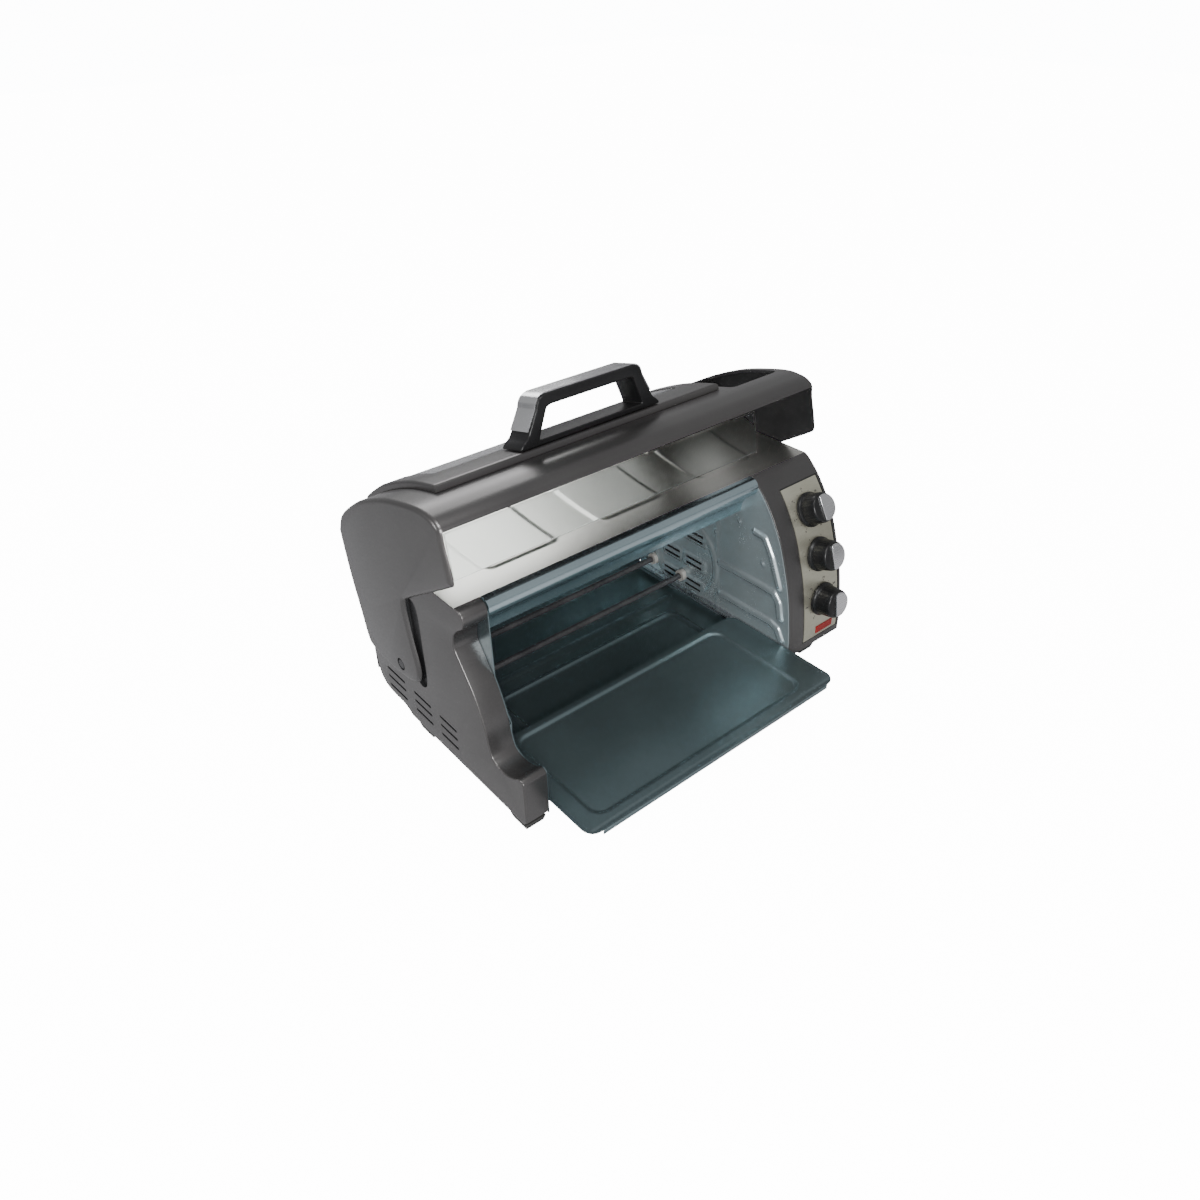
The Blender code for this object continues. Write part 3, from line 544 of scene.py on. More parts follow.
leg = [(span, 0), (span - 0.0006, 0.0026)]
leg += rounded([(span - 0.0035, 0.0058), (span - 0.0082, 0.0095), (span - 0.0108, 0.0135)], 3)
shoulder = rounded([(span - 0.0212, rise - 0.0125), (span - 0.0232, rise - 0.0060),
                    (span - 0.0268, rise - 0.0018), (span - 0.0325, rise)], 4)
grip = loop_slab(both_sides(leg + shoulder), 0, grip_depth)
fingers = rounded([(span - 0.0222, 0.0056), (span - 0.0240, 0.0110)], 1)
fingers += rounded([(span - 0.0315, rise - 0.0170), (span - 0.0336, rise - 0.0128),
                    (span - 0.0385, rise - 0.0112)], 3)
hole = loop_slab(both_sides(fingers), -0.01, 0.05)
handle = object_from("handle_grip", grip, black)
carve(handle, hole)
soften = handle.modifiers.new("soften", "BEVEL")
soften.width = 0.0013
soften.segments = 3
soften.limit_method = "ANGLE"
soften.angle_limit = math.radians(50)
settle(handle)
place(handle, "door", "black_plastic", "handle_body")

outer = [(span - 0.0112, 0.0155)] + shoulder
ribbon = [(x + 0.0003, v + 0.0003) for x, v in outer]
proud = [(x + 0.0016, v + 0.0008) for x, v in outer[:-3]]
proud += [(x + 0.0010, v + 0.0015) for x, v in outer[-3:-1]] + [(outer[-1][0] + 0.0003, rise + 0.0018)]
strip_border = 0.0020
strip_shape = loop_slab(both_sides(ribbon) + both_sides(proud)[::-1], strip_border, grip_depth - strip_border)
strip = object_from("handle_bright_strip", strip_shape, aluminium)
place(strip, "door", "brushed_aluminium", "handle_insert")

# ---------------------------------------------------------------------------------------------
# The left end cap: a hollow moulding with a toe, a scooped saddle and a nose, in the same paint. It has
# three groups of cooling louvres and a scoop where the door's arm swings past; its hollow, louvres and
# scoop are painted near-black as painted shade.
cap_low, cap_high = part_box("left_end_cap")
cover_low, cover_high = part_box("top_cover")
under_cover = cover_high.z - 0.0015
sill = cap_low.z
lower_back = smooth(mm((84, 8), (92, 12.5), (101, 15), (122, 15.5), (137, 19), (146.5, 30), (149.5, 52)), 3)
upper_back = smooth(mm((149.5, 184), (147.5, 191.5), (144, 197.5), (137, 203.6), (131, 206.3)), 3)
nose = smooth(mm((-31.4, 208.7), (-38, 207.6), (-42.5, 204), (-43.5, 197), (-40, 190), (-31, 183), (-24, 174),
                 (-22, 163)), 4)
cap_front = smooth(mm((-22, 163), (-24, 156), (-36, 139), (-49, 119.5), (-61, 91.5), (-66, 68), (-72, 57),
                      (-88, 54), (-103, 58.5), (-111, 64), (-117, 62.5), (-118.4, 56), (-118.5, 20),
                      (-118.3, 12)), 4)
lower_back[0].y = sill


def rear_edge():
    """The outline that both sides share, from the sill up the back to the top cover."""
    return lower_back + upper_back + [Vector((upper_back[-1].x - 0.005, under_cover)),
                                      Vector((cover_low.y - 0.0002, under_cover))]


cap_outline = [Vector((cap_front[-1].x + 0.004, sill))] + rear_edge() + nose + cap_front[1:]
cap = slab(cap_outline, cap_low.x, cap_high.x)


def in_front_of(edge, y):
    return all(vert.co.y < y for vert in edge.verts)


def under_the_cover(edge):
    return all(vert.co.z > under_cover - 1e-4 and vert.co.y > cover_low.y - 0.001 for vert in edge.verts)


outer_round, rim_round, moulded_wall = 0.0042, 0.0030, 0.0040
round_edges(cap, lambda edge: at_x(edge, cap_low.x) and not under_the_cover(edge), outer_round, 4)
round_edges(cap, lambda edge: at_x(edge, cap_high.x) and in_front_of(edge, cover_low.y - 0.001), rim_round, 3)
end_cap = object_from("left_cap", cap, gunmetal, painted_shade_lining)
hollow = mm((-113, 12), (79, 12), (88, 16.5), (100, 19.5), (121, 19.8), (134, 23), (142.5, 33), (145.5, 53),
            (145.5, 183), (141, 194), (132, 203.2), (-33, 203.2), (-38.5, 199), (-36, 191), (-26, 179),
            (-18, 165), (-19.5, 155), (-32, 137), (-45, 117.5), (-57, 90), (-62, 67), (-69.5, 53.5), (-88, 50),
            (-104, 54.5), (-110, 58.5), (-114.3, 57), (-114.4, 20))
carve(end_cap, slab(hollow, cap_low.x + moulded_wall, cap_high.x + 0.01), inner=1)
scoop = smooth(mm((60, 176), (46, 175), (40, 166), (38.5, 146), (38.5, 122), (38, 100), (38.5, 84), (42, 74),
                  (50, 70), (60, 74)), 4)
scoop_depth, slot_height = 0.0034, 3.2
# The scoop's faces take the near-black finish, painted shade under the swinging arm.
carve(end_cap, slab(scoop[::-1], cap_low.x - 0.01, cap_low.x + scoop_depth), inner=1)


def louvre_slots(x0, x1, groups, height):
    """Three rows of slots with round ends, for each (y from, y to) in millimetres."""
    for start_y, end_y in groups:
        for z in (26, 38, 49):
            corner_low, corner_high = mm((start_y, z - height / 2), (end_y, z + height / 2))
            bm = block((x0, corner_low.x, corner_low.y), (x1, corner_high.x, corner_high.y))
            yield round_edges(bm, lambda edge: abs(edge.verts[0].co.x - edge.verts[1].co.x) > 0.003,
                              height / 2100, 3)


for slot_shape in louvre_slots(cap_low.x - 0.002, cap_low.x + 0.006, ((90, 126), (39, 72), (-8, 23)),
                               slot_height):
    carve(end_cap, slot_shape, inner=1)
place(end_cap, "body", "gunmetal", "left_end_cap")

# ---------------------------------------------------------------------------------------------
# The top cover: one polished steel sheet over the cavity and down the back, with three raised
# rectangles pressed into it. It is fixed under the side mouldings.


def ease(t):
    """A soft step from 0 to 1."""
    t = min(max(t, 0.0), 1.0)
    return t * t * (3 - 2 * t)


def panel(u, v, low, high, corner, ramp):
    """1 inside a rounded rectangle and 0 outside, with a soft step between."""
    du = abs(u - (low[0] + high[0]) / 2) - (high[0] - low[0]) / 2 + corner
    dv = abs(v - (low[1] + high[1]) / 2) - (high[1] - low[1]) / 2 + corner
    outside = math.hypot(max(du, 0.0), max(dv, 0.0)) + min(max(du, dv), 0.0) - corner
    return ease(0.5 - outside / ramp)


def rib(u, v, path, half, ramp):
    """1 along a path and 0 away from it."""
    nearest = math.inf
    for (u0, v0), (u1, v1) in zip(path, path[1:]):
        length = (u1 - u0) ** 2 + (v1 - v0) ** 2
        t = min(max(((u - u0) * (u1 - u0) + (v - v0) * (v1 - v0)) / length, 0.0), 1.0)
        nearest = min(nearest, math.hypot(u - u0 - t * (u1 - u0), v - v0 - t * (v1 - v0)))
    return ease(1 - (nearest - half) / ramp)


def sheet(columns, rows, position, depth):
    """A pressed sheet: its face from position(s, t), s and t in 0..1, and its back at `depth` from it."""
    bm = bmesh.new()
    bmesh.ops.create_grid(bm, x_segments=columns, y_segments=rows, size=0.5)
    for vert in bm.verts:
        vert.co = position(vert.co.x + 0.5, vert.co.y + 0.5)
    return thicken(bm, bm.faces[:], depth)


polished = finish("polished_steel", (0.60, 0.59, 0.55), (0.64, 0.63, 0.59), 0.30, 0.05, 1.0,
                  stretch=(0.25, 1, 1), grain=1800, depth=0.008, patches=5)
cover_curve = smooth(mm((-31, 208.9), (0, 208.9), (64, 208.9), (124, 208.9), (133, 208.2), (140, 205.6),
                        (146, 200.8), (149.4, 195), (151, 190), (151.5, 187.5)), 4)
cover_length = sum((b - a).length for a, b in zip(cover_curve, cover_curve[1:]))
to_corner = run_to(cover_curve, AXIS_Y + 0.040)
rectangles = (-0.174, -0.091), (-0.038, 0.043), (0.096, 0.176)
press_height = 0.0009


def cover_point(s, t):
    x, run = cover_low.x + (cover_high.x - cover_low.x) * s, cover_length * t
    press = max(panel(x, run, (x0, 0.031), (x1, to_corner), 0.009, 0.0034) for x0, x1 in rectangles)
    return x, run, -press_height * (1 - press) - 0.0001


cover_bm = sheet(260, 110, cover_point, (0, 0, -0.0010))
lay_on(cover_bm, cover_curve)
top_sheet = object_from("top_sheet", cover_bm, polished)
place(top_sheet, "body", "polished_steel", "top_cover")

# ---------------------------------------------------------------------------------------------
# The header: a rounded polished rail over the mouth of the cavity, under the cover's front edge. Its
# steel is tinted blue-white, a painted reflection of the sky.
header_low, header_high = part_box("header_bar")
nose_length = sum((b - a).length for a, b in zip(nose, nose[1:]))


def header_point(s, t):
    return header_low.x + (header_high.x - header_low.x) * s, nose_length * t, 0.0


header_bm = lay_on(sheet(40, 26, header_point, (0, 0, 0.0011)), nose)
# Painted reflection: the blue-white tint stands in for the sky mirrored in the polished rail.
painted_reflection_steel = finish("painted_reflection_steel", (0.44, 0.55, 0.59), (0.50, 0.61, 0.65), 0.22, 0.06, 1.0,
                    stretch=(0.25, 1, 1), grain=1800, depth=0.01, patches=12)
header = object_from("header_rail", header_bm, painted_reflection_steel)
place(header, "body", "polished_steel", "header_bar")

# ---------------------------------------------------------------------------------------------
# The cavity: galvanised sheets with pressed ribs. The right wall has the slots of the fan, a round
# step, ribs that carry a shelf, and pressed dimples; its sheet is painted lighter than the others, as
# painted light. The other sheets are stiffened likewise.
galvanised = finish("galvanised_sheet", (0.150, 0.196, 0.208), (0.166, 0.214, 0.226), 0.31, 0.05, 0.86,
                    grain=900, depth=0.02, patches=14)
# Painted light: a lighter copy of the galvanised sheet, for the right wall where the light falls.
painted_light_sheet = finish("painted_light_sheet", (0.38, 0.44, 0.46), (0.42, 0.48, 0.50), 0.25, 0.05, 0.70,
                      grain=900, depth=0.015, patches=14)


def span_at(curve, y, pick):
    """The lowest or highest z at which the curve crosses this y."""
    found = [a.y + (b.y - a.y) * (y - a.x) / (b.x - a.x) for a, b in zip(curve, curve[1:])
             if (a.x - y) * (b.x - y) <= 0 and a.x != b.x]
    return pick(found) if found else pick((curve[0].y, curve[-1].y))


def wall(name, x, toward, front, back, under, over, height, slots, node):
    """A side sheet between two curves, pressed towards the cavity by `height`, all in millimetres."""
    (front,), (back,) = mm((front, 0)), mm((back, 0))
    (table,) = mm((0, 0))

    def point(s, t):
        y = front.x + (back.x - front.x) * s
        z0, z1 = span_at(under, y, min), span_at(over, y, max)
        z = z0 + (z1 - z0) * t
        return x + toward * height((y - table.x) * 1000, (z - table.y) * 1000) / 1000, y, z

    bm = sheet(170, 130, point, (-toward * 0.0011, 0, 0))
    # The right wall takes the lighter copy, painted light; the left wall takes the plain galvanised sheet.
    made = object_from(name, bm, painted_light_sheet if toward < 0 else galvanised)
    for cutter in slots:
        carve(made, cutter)
    return place(made, "body", "galvanised", node, angle=40)


floor_line = lower_back[0].y + 0.0004
side_under = [Vector((-0.2, floor_line)), Vector((lower_back[0].x, floor_line))] \
    + [point + Vector((-0.0004, 0.0004)) for point in lower_back]
side_over = [Vector((0.2, 0.1))] + [Vector((point.x - 0.0004, point.y - 0.0004)) for point in upper_back] \
    + [Vector((upper_back[-1].x - 0.006, under_cover - 0.0005)), Vector((-0.03, under_cover - 0.0005))]
housing_curve = smooth(mm((-31.4, 208.2), (-36, 205.6), (-40, 202.4), (-50, 193), (-59, 182), (-68, 169),
                          (-81, 145), (-92, 114), (-100, 85), (-105, 55), (-108.2, 28), (-108.4, 12)), 4)
right_over = side_over + [point + Vector((0.0006, -0.0006)) for point in housing_curve]
left_over = side_over + [point + Vector((0.0006, -0.0006)) for point in
                         nose[nose.index(min(nose, key=lambda point: point.x)):] + cap_front[1:]]


def right_press(y, z):
    fan = ease((57 - math.hypot(y - 60, z - 66)) / 3.5)
    inner = ease((math.hypot(y - 60, z - 66) - 46) / 3.5)
    hoods = max(panel(y, z, (front, low - 5), (back, high + 5), 5, 3)
                for low, high in ((96, 104), (60, 68), (29, 37)) for front, back in ((24, 63), (64.5, 97)))
    racks = max(rib(y, z, ((2, 83), (-60, 84), (-80, 83), (-88, 74), (-92, 56)), 2.6, 2.6),
                rib(y, z, ((-2, 42), (-80, 43.5), (-90, 40), (-96, 29)), 2.6, 2.6),
                rib(y, z, ((-45, 146), (-60, 145), (-72, 126), (-86, 94)), 2.0, 2.4),
                0.22 * rib(y, z, ((14, 152), (1, 4)), 1.2, 3.0),
                rib(y, z, ((18, 156), (118, 156)), 2.2, 2.4), rib(y, z, ((126, 148), (126, 34)), 2.2, 2.4))
    dimples = max(ease((r - math.hypot(y - a, z - b)) / 1.6) for a, b, r in
                  ((9, 143, 3.4), (12, 121, 3.2), (-22, 149, 3.0), (-6, 16, 4.0), (-60, 112, 3.0)))
    return max(1.8 * fan * inner, 1.9 * hoods, 2.6 * racks, 1.6 * dimples)


def slots_through(x0, x1):
    """Two columns of round-ended slots in three pairs."""
    for z in (104, 96, 68, 60, 37, 29):
        for y in (30, 67):
            near, far = mm((y, z - 1.6), (y + 27, z + 1.6))
            bm = block((x0, near.x, near.y), (x1, far.x, far.y))
            yield round_edges(bm, lambda edge: abs(edge.verts[0].co.x - edge.verts[1].co.x) > 0.003,
                              0.0015, 3)


wall_low, wall_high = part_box("cavity_right_wall")
wall("right_wall", wall_low.x, -1, -107.6, 149, side_under, right_over, right_press,
     slots_through(wall_low.x - 0.01, wall_high.x + 0.01), "cavity_right_wall")


def left_press(y, z):
    racks = max(rib(y, z, ((-60, 84), (110, 84)), 2.6, 2.6), rib(y, z, ((-70, 43), (110, 43)), 2.6, 2.6),
                rib(y, z, ((-20, 150), (112, 150)), 2.2, 2.4))
    return 2.4 * racks


wall_low, wall_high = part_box("cavity_left_wall")
wall("left_wall", wall_high.x, 1, -117.5, 149, side_under, left_over, left_press, (), "cavity_left_wall")

low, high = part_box("cavity_back_wall")


def pressed_back(s, t):
    x, z = low.x + (high.x - low.x) * s, low.z + (high.z - low.z) * t
    press = max(panel(x, z, (x0, 0.052), (x1, 0.160), 0.012, 0.005)
                for x0, x1 in ((-0.180, -0.080), (-0.060, 0.010), (0.030, 0.120)))
    return x, low.y + 0.0002 - 0.0016 * press, z


back_sheet = object_from("back_wall", sheet(150, 90, pressed_back, (0, 0.0010, 0)), galvanised)
place(back_sheet, "body", "galvanised", "cavity_back_wall")
low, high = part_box("cavity_ceiling")


def pressed_ceiling(s, t):
    x, y = low.x + (high.x - low.x) * s, low.y + (high.y - low.y) * t
    return x, y, low.z + 0.0002 - 0.0014 * panel(x, y, (-0.170, 0.012), (0.108, 0.120), 0.015, 0.005)


ceiling = object_from("ceiling", sheet(140, 70, pressed_ceiling, (0, 0, 0.0010)), galvanised)
place(ceiling, "body", "galvanised", "cavity_ceiling")

# ---------------------------------------------------------------------------------------------
# The base pan: the cavity's floor, one galvanised sheet with a large pressed rectangle and a ridge
# behind it. At the back its sides are turned up to meet the walls.
low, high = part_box("base_pan")


def pan_point(s, t):
    x, y = low.x + (high.x - low.x) * s, low.y + (high.y - low.y) * t
    (y0,), (y1,), (y2,) = mm((-70, 0)), mm((43.5, 0)), mm((66, 0))
    press = panel(x, y, (-0.155, y0.x), (0.106, y1.x), 0.014, 0.0044)
    inner = panel(x, y, (-0.150, y0.x + 0.005), (0.101, y1.x - 0.005), 0.010, 0.0044)
    ridge = rib(x, y, ((low.x + 0.02, y2.x), (high.x - 0.02, y2.x)), 0.0020, 0.0030)
    edge = (high.x - low.x) / 2 - abs(x - (low.x + high.x) / 2)
    flange = 0.011 * ease(1 - edge / 0.0030) * ease((y - y2.x - 0.004) / 0.010)
    return x, y, high.z - 0.0004 + 0.0020 * press - 0.0026 * inner + 0.0014 * ridge + flange


pan = object_from("pan_sheet", sheet(190, 130, pan_point, (0, 0, -0.0012)), galvanised)
place(pan, "body", "galvanised", "base_pan")

# ---------------------------------------------------------------------------------------------
# The crumb tray: a thin galvanised tray that slides in under the heaters. Its middle is pressed
# down inside a rounded rectangle, its corners are rounded, and its front edge is turned down.
low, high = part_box("crumb_tray")
tray_rim, tray_corner = 0.0212, 0.013


def tray_point(s, t):
    x, y = low.x + (high.x - low.x) * s, low.y + 0.0008 + (high.y - low.y - 0.0008) * t
    press = panel(x, y, (low.x + tray_rim, low.y + tray_rim * 0.8),
                  (high.x - tray_rim * 1.7, high.y - tray_rim * 0.4), 0.014, 0.0042)
    bead = rib(x, y, ((low.x + 0.006, low.y + 0.005), (high.x - 0.006, low.y + 0.005)), 0.0004, 0.0016)
    raised = 0.0003 * ease((abs(x - (low.x + high.x) / 2) - (high.x - low.x) / 2 + 0.005) / 0.004)
    return x, y, high.z - 0.0004 - 0.0022 * press - 0.0004 * bead + raised


tray = object_from("tray_sheet", sheet(210, 100, tray_point, (0, 0, -0.0008)), galvanised)
carve(tray, plan_cutter(low.x, high.x, low.y + 0.0008, high.y, low.z - 0.01, high.z + 0.01, tray_corner),
      "INTERSECT")
front_lip = block((low.x + 0.0150, low.y + 0.0001, low.z), (high.x - 0.0150, low.y + 0.0012, high.z - 0.0008))
round_edges(front_lip, lambda edge: True, 0.0004, 2)
carve(tray, front_lip, "UNION")
place(tray, "crumb_tray", "galvanised", "crumb_tray", angle=40)

# ---------------------------------------------------------------------------------------------
# The right side: a deep control housing in front and a cover behind it, hollow mouldings in the
# dark paint. The housing's front follows one long curve, and its edges are softly rounded.
# Painted shade: the hollows, louvres, shaft holes and the recess round the fascia take the near-black finish.
housing_low, housing_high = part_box("control_housing")
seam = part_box("right_side_cover")[0].y - 0.0003
front_curve = housing_curve[::-1]


def joined_outline(points):
    """Drops the points that repeat."""
    return [point for i, point in enumerate(points) if (point - points[i - 1]).length > 1e-5]


housing_shape = joined_outline([Vector((front_curve[0].x, sill)), Vector((seam, sill)),
                                Vector((seam, under_cover)), Vector((cover_low.y - 0.0003, under_cover))]
                               + housing_curve)
housing = slab(housing_shape, housing_low.x, housing_high.x)
for face_x, width, segments in ((housing_high.x, 0.0045, 4), (housing_low.x, rim_round, 3)):
    round_edges(housing, lambda edge: at_x(edge, face_x) and in_front_of(edge, cover_low.y + 0.0005),
                width, segments)
control_housing = object_from("housing_shell", housing, gunmetal, painted_shade_lining)
inner_housing = mm((-104.5, 11.5), (6.8, 11.5), (6.8, 203.6), (-32, 203.6), (-38, 200), (-48, 190),
                   (-57, 179), (-66, 166), (-78.5, 142), (-89, 112), (-97, 83), (-101.5, 55), (-104.5, 30))
carve(control_housing, slab(inner_housing, housing_low.x - 0.01, housing_high.x - moulded_wall), inner=1)
fascia_low, fascia_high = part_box("control_fascia")
lengths, total = [], 0.0
for a, b in zip(front_curve, front_curve[1:]):
    lengths.append((a, b, total))
    total += (b - a).length


def run_to_height(z):
    """How far up the front curve it reaches this height."""
    for a, b, run in lengths:
        if (a.y - z) * (b.y - z) <= 0 and a.y != b.y:
            return run + (b - a).length * (z - a.y) / (b.y - a.y)
    return 0.0


plate_start, plate_end = run_to_height(fascia_low.z), run_to_height(fascia_high.z)


def plate(x0, x1, run0, run1, z0, z1, corner):
    """A rounded plate bent onto the housing's front."""
    flat_plate = plan_cutter(x0, x1, run0, run1, z0, z1, corner)
    return lay_on(slice_along(flat_plate, run0, run1, 40), front_curve)


recess_edge, recess_depth, recess_corner = 0.0016, 0.0014, 0.0085
recess = plate(fascia_low.x - recess_edge, fascia_high.x + recess_edge, plate_start - recess_edge * 0.5,
               plate_end + recess_edge, -recess_depth, 0.004, recess_corner)
carve(control_housing, recess, inner=1)
control_names = ("timer", "function", "temperature")
knob_joints = {name: next(joint for joint in frame["joints"] if joint["name"] == name + "_turn")
               for name in control_names}


def knob_frame(name):
    """A control's own axes: local Z points out of the fascia."""
    out = Vector(knob_joints[name]["axis"]).normalized()
    if out.y > 0:
        out = -out
    side_way = Vector((1, 0, 0))
    turn = Matrix((side_way, out.cross(side_way), out)).transposed().to_4x4()
    return Matrix.Translation(knob_joints[name]["pos_m"]) @ turn


def shaft_hole(name):
    """A round cutter along a control's shaft."""
    radius, near, far = 0.0034, -0.010, 0.006
    bm = bmesh.new()
    bmesh.ops.create_cone(bm, cap_ends=True, segments=32, radius1=radius, radius2=radius, depth=far - near,
                          matrix=knob_frame(name) @ Matrix.Translation((0, 0, (near + far) / 2)))
    return bm


for name in control_names:
    carve(control_housing, shaft_hole(name), inner=1)
place(control_housing, "body", "gunmetal", "control_housing")

side_shape = joined_outline([Vector((seam + 0.0004, sill))] + rear_edge()[:-1]
                            + [Vector((seam + 0.0004, under_cover))])
side_low, side_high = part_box("right_side_cover")
side_cover = slab(side_shape, side_low.x, side_high.x)
round_edges(side_cover, lambda edge: at_x(edge, side_high.x)
            and all(vert.co.y > seam + 0.02 for vert in edge.verts)
            and not all(vert.co.z > under_cover - 1e-4 for vert in edge.verts), outer_round, 4)
# Its second slot is painted shade: the near-black finish in the hollow and the louvres.
right_cover = object_from("right_cover", side_cover, gunmetal, painted_shade_lining)
inner_side = mm((14, 12), (79, 12), (88, 16.5), (100, 19.5), (121, 19.8), (134, 23), (142.5, 33), (145.5, 53),
                (145.5, 183), (141, 194), (132, 203.2), (14, 203.2))
carve(right_cover, slab(inner_side, side_low.x - 0.01, side_high.x - moulded_wall), inner=1)
for slot_shape in louvre_slots(side_high.x - 0.006, side_high.x + 0.002, ((90, 126), (39, 72)), slot_height):
    carve(right_cover, slot_shape, inner=1)
place(right_cover, "body", "gunmetal", "right_side_cover")

# ---------------------------------------------------------------------------------------------
# The fascia: a thin champagne plate, let flush into the housing, brushed across, with printed dials.
# Each dial has its ring of ticks, and two of them have plain numbers.
champagne = finish("champagne_plate", (0.44, 0.43, 0.34), (0.52, 0.51, 0.42), 0.35, 0.12, 0.80,
                   stretch=(0.04, 1, 1), grain=2200, depth=0.16, patches=20)
ink = finish("printed_ink", (0.030, 0.028, 0.027), (0.045, 0.042, 0.040), 0.5, 0.1, grain=800, depth=0.05)
plate_back, plate_face, plate_corner = -0.0012, -0.0002, 0.0072
face_plate = plate(fascia_low.x, fascia_high.x, plate_start, plate_end, plate_back, plate_face, plate_corner)
face_plate = object_from("fascia_plate", face_plate, champagne)
for name in control_names:
    carve(face_plate, shaft_hole(name))
lamp_low, lamp_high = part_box("lamp_lens")
lamp_gap = Vector((0.0003, 0.01, 0.0003))
carve(face_plate, block(lamp_low - lamp_gap, lamp_high + lamp_gap))
place(face_plate, "body", "champagne", "control_fascia")


dials = {"timer": (-150, 150, 13, ("0", "5", "10", "15", "20", "25", "30")), "function": (-130, 130, 6, ()),
         "temperature": (-150, 120, 11, ("0", "100", "150", "175", "200", "230"))}
centre_x = knob_joints["timer"]["pos_m"][0]


def around(name, step, count):
    """The direction of one of a dial's marks, on the flat plate."""
    first, last = dials[name][:2]
    turn = math.radians(90 - (first + (last - first) * step / (count - 1)))
    return math.cos(turn), math.sin(turn)


marks = bmesh.new()
ink_foot, ink_thickness = -0.00015, 0.0001
for name, (_, _, count, _) in dials.items():
    run = run_to_height(knob_joints[name]["pos_m"][2])
    for step in range(count):
        ray = Vector((*around(name, step, count), 0))
        across = Vector((-ray.y, ray.x, 0)) * 0.00025
        near, far = ray * 0.0208, ray * (0.0219 if step % 2 else 0.0226)
        corners = [near - across, far - across, far + across, near + across]
        on_plate = Vector((centre_x, run, ink_foot))
        tick = marks.faces.new([marks.verts.new(on_plate + corner) for corner in corners])
        thicken(marks, [tick], (0, 0, ink_thickness))
place(object_from("dial_marks", lay_on(marks, front_curve), ink), "body", "champagne")

for name, (_, _, _, words) in dials.items():
    for index, word in enumerate(words):
        letters = bpy.data.curves.new("dial_text", "FONT")
        letters.body = word
        letters.size = 0.0031
        letters.align_x, letters.align_y = "CENTER", "CENTER"
        letters.extrude = 0.00006
        carrier = bpy.data.objects.new("dial_text", letters)
        graph = bpy.context.evaluated_depsgraph_get()
        bpy.context.scene.collection.objects.link(carrier)
        graph.update()
        flat_letters = bmesh.new()
        flat_letters.from_mesh(bpy.data.meshes.new_from_object(carrier.evaluated_get(graph)))
        bpy.data.objects.remove(carrier)
        run = run_to_height(knob_joints[name]["pos_m"][2])
        ray_x, ray_y = around(name, index, len(words))
        bmesh.ops.translate(flat_letters, verts=flat_letters.verts,
                            vec=(centre_x + ray_x * 0.0250, run + ray_y * 0.0245, -0.0001))
        number = object_from("%s_number_%d" % (name, index), lay_on(flat_letters, front_curve), ink)
        place(number, "body", "champagne")

# ---------------------------------------------------------------------------------------------
# The knobs: black mouldings with a skirt and fine flutes, pushed onto the shafts, each with a bright
# D-shaped end cap let into its face.


def spun(profile, steps):
    """A turned shape from its (radius, height) profile."""
    bm = bmesh.new()
    points = [bm.verts.new((radius, 0, z)) for radius, z in profile]
    edges = [bm.edges.new(pair) for pair in zip(points, points[1:])]
    bmesh.ops.spin(bm, geom=points + edges, axis=(0, 0, 1), cent=(0, 0, 0), steps=steps, angle=math.tau,
                   use_merge=True)
    bmesh.ops.remove_doubles(bm, verts=bm.verts, dist=1e-6)
    bmesh.ops.recalc_face_normals(bm, faces=bm.faces)
    return bm


flutes, flute_depth, flute_low, flute_high = 36, 0.010, 0.0070, 0.0215
cap_foot, cap_thickness, cap_radius, cap_round = 0.0242, 0.0020, 0.0144, 0.0006
for name in control_names:
    knob = spun([(0, -0.0040), (0.0030, -0.0040), (0.0030, 0.0012), (0.0189, 0.0012), (0.0194, 0.0016),
                 (0.0195, 0.0032), (0.0193, 0.0040), (0.0185, 0.0050), (0.0177, 0.0060), (0.0174, 0.0080),
                 (0.0172, 0.0110), (0.0170, 0.0150), (0.0168, 0.0190), (0.0166, 0.0212), (0.0161, 0.0228),
                 (0.0154, 0.0236), (0.0145, 0.0240), (0, 0.0240)], flutes * 6)
    for vert in knob.verts:
        if flute_low < vert.co.z < flute_high and vert.co.xy.length > 0.01:
            turn = math.atan2(vert.co.y, vert.co.x) * flutes
            vert.co.xy *= 1 - flute_depth * (0.5 + 0.5 * math.cos(turn))
    knob.transform(knob_frame(name))
    place(object_from("turned_knob_" + name, knob, black), "knob_" + name, "black_plastic", "knob_" + name)
    cap_shape = bmesh.new()
    d_shape = [math.radians(degrees) for degrees in range(-110, 111, 5)]
    face = cap_shape.faces.new([cap_shape.verts.new((cap_radius * math.cos(a), cap_radius * math.sin(a),
                                                     cap_foot)) for a in d_shape])
    thicken(cap_shape, [face], (0, 0, cap_thickness))
    cap_top = cap_foot + cap_thickness - 1e-4
    round_edges(cap_shape, lambda edge: all(vert.co.z > cap_top for vert in edge.verts), cap_round, 3)
    cap_shape.transform(knob_frame(name))
    place(object_from("bright_cap_" + name, cap_shape, aluminium), "knob_" + name, "brushed_aluminium",
          "knob_cap_" + name)

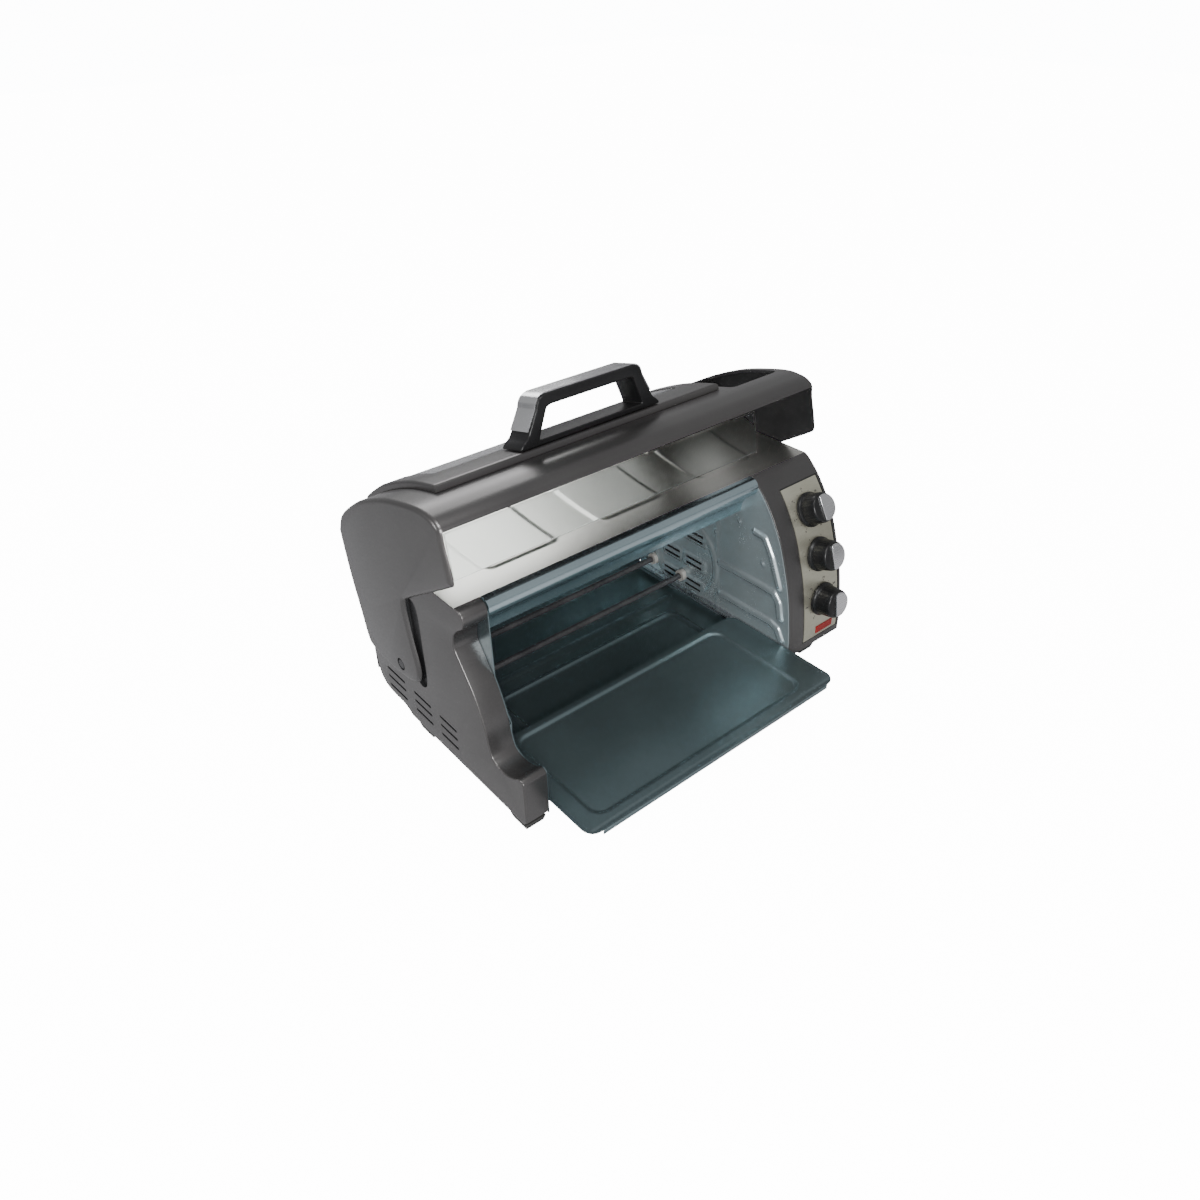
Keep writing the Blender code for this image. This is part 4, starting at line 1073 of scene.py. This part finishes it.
# ---------------------------------------------------------------------------------------------
# The power lamp: a ribbed lens of dark red plastic at the foot of the fascia, lit from behind when
# the oven is on. It snaps into its window from the front.
red = finish("red_lens", (0.22, 0.010, 0.010), (0.30, 0.016, 0.014), 0.18, 0.08, grain=500, depth=0.05,
             Transmission_Weight=0.15, Emission_Color=(0.6, 0.02, 0.015, 1), Emission_Strength=0.02)
lens = block(lamp_low + Vector((0.0001, 0.0004, 0.0001)), lamp_high - Vector((0.0001, 0, 0.0001)))
round_edges(lens, lambda edge: True, 0.0006, 2)
lens_obj = object_from("ribbed_lens", lens, red)
groove_pitch, groove_half, groove_margin = 0.00224, 0.00045, 0.0011
for index in range(11):
    x = lamp_low.x + 0.0028 + index * groove_pitch
    carve(lens_obj, block((x - groove_half, lamp_low.y - 0.001, lamp_low.z + groove_margin),
                          (x + groove_half, lamp_low.y + 0.0009, lamp_high.z - groove_margin)))
place(lens_obj, "body", "red_lens", "lamp_lens")

# ---------------------------------------------------------------------------------------------
# The feet: four tapered black rubber blocks with grooved soles, pressed into the underside of the
# side mouldings.
rubber = finish("black_rubber", (0.014, 0.014, 0.014), (0.024, 0.024, 0.023), 0.62, 0.12, grain=700,
                depth=0.3)
sole_taper, groove_half = 0.84, 0.0008
for name in ("front_left", "front_right", "rear_left", "rear_right"):
    low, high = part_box("foot_" + name)
    foot_bm = block(low, high)
    lower_verts = [vert for vert in foot_bm.verts if vert.co.z < 0.001]
    centre = (low + high) / 2
    bmesh.ops.scale(foot_bm, verts=lower_verts, vec=(sole_taper, sole_taper, 1),
                    space=Matrix.Translation(-centre))
    round_edges(foot_bm, lambda edge: True, 0.0011, 3)
    rubber_foot = object_from("rubber_" + name, foot_bm, rubber)
    for offset in (-0.005, 0, 0.005):
        carve(rubber_foot, block((low.x - 0.01, centre.y + offset - groove_half, -0.001),
                                 (high.x + 0.01, centre.y + offset + groove_half, 0.0009)))
    place(rubber_foot, "body", "black_plastic", "foot_" + name)

# ---------------------------------------------------------------------------------------------
# The rear cover: a painted steel sheet with a pressed border and two columns of vents, and the black
# rubber gland through which the cord would leave. The cord itself isn't shown.
rear_low, rear_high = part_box("rear_cover")
rear_border, sill_border = 0.018, 0.016


def rear_point(s, t):
    x, z = rear_low.x + (rear_high.x - rear_low.x) * s, rear_low.z + (rear_high.z - rear_low.z) * t
    press = panel(x, z, (rear_low.x + rear_border, rear_low.z + sill_border),
                  (rear_high.x - rear_border, rear_high.z - sill_border), 0.01, 0.004)
    return x, rear_high.y - 0.0002 - 0.0007 * press, z


rear = object_from("rear_sheet", sheet(150, 60, rear_point, (0, -0.0004, 0)), gunmetal)
for row in range(5):
    for column in (-0.120, 0.040):
        z = rear_low.z + 0.070 + 0.012 * row
        slot = block((column, rear_low.y - 0.01, z), (column + 0.080, rear_high.y + 0.01, z + 0.004))
        round_edges(slot, lambda edge: abs(edge.verts[0].co.y - edge.verts[1].co.y) > 0.003, 0.0019, 3)
        carve(rear, slot)
place(rear, "body", "gunmetal", "rear_cover")

gland_low, gland_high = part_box("cord_gland")
gland = spun([(0, 0.0), (0.0088, 0.0), (0.0090, 0.0004), (0.0090, 0.0026), (0.0086, 0.0030), (0.0062, 0.0030),
              (0.0060, 0.0040), (0.0066, 0.0044), (0.0066, 0.0058), (0.0058, 0.0062), (0.0064, 0.0066),
              (0.0064, 0.0080), (0.0056, 0.0084), (0.0061, 0.0088), (0.0060, 0.0102), (0.0054, 0.0106),
              (0.0056, 0.0112), (0.0052, 0.0120), (0.0036, 0.0120), (0.0034, 0.0060), (0, 0.0060)], 48)
gland_middle = (gland_low + gland_high) / 2
gland.transform(Matrix.Translation((gland_middle.x, gland_low.y, gland_middle.z))
                @ Matrix.Rotation(-math.pi / 2, 4, "X"))
place(object_from("ribbed_gland", gland, rubber), "body", "black_plastic", "cord_gland")

# ---------------------------------------------------------------------------------------------
# What is carried as it is: the sheathed heaters, their ceramic holders, the fan, the steel rails and
# the fixings. Each takes the finish of what it is made of.
steel = finish("plain_steel", (0.44, 0.44, 0.45), (0.54, 0.54, 0.55), 0.32, 0.15, 1.0, grain=1200, depth=0.12,
               patches=30)
sheath = finish("element_sheath", (0.055, 0.056, 0.060), (0.105, 0.104, 0.106), 0.48, 0.15, 0.7, grain=600,
                depth=0.2, patches=40)
ceramic = finish("ivory_ceramic", (0.27, 0.26, 0.24), (0.33, 0.32, 0.30), 0.42, 0.1, grain=900, depth=0.12)
dark_steel = finish("dark_pin", (0.035, 0.035, 0.037), (0.06, 0.06, 0.063), 0.34, 0.1, 0.8, grain=900,
                    depth=0.08)
carried = {"hinge_pin": dark_steel, "element_front_holder": ceramic, "element_rear_holder": ceramic,
           "element": sheath, "fan": steel, "rail": steel, "screw": steel, "switch": ceramic,
           "thermostat": ceramic, "timer_body": ceramic, "terminal": ceramic}
for name, node in frame["nodes"].items():
    look = next((look for key, look in carried.items() if key in name), None)
    if look:
        node.data.materials.clear()
        node.data.materials.append(look)

size = {"cad_box": cad_box, "visual_box": [list(corner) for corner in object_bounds()]}
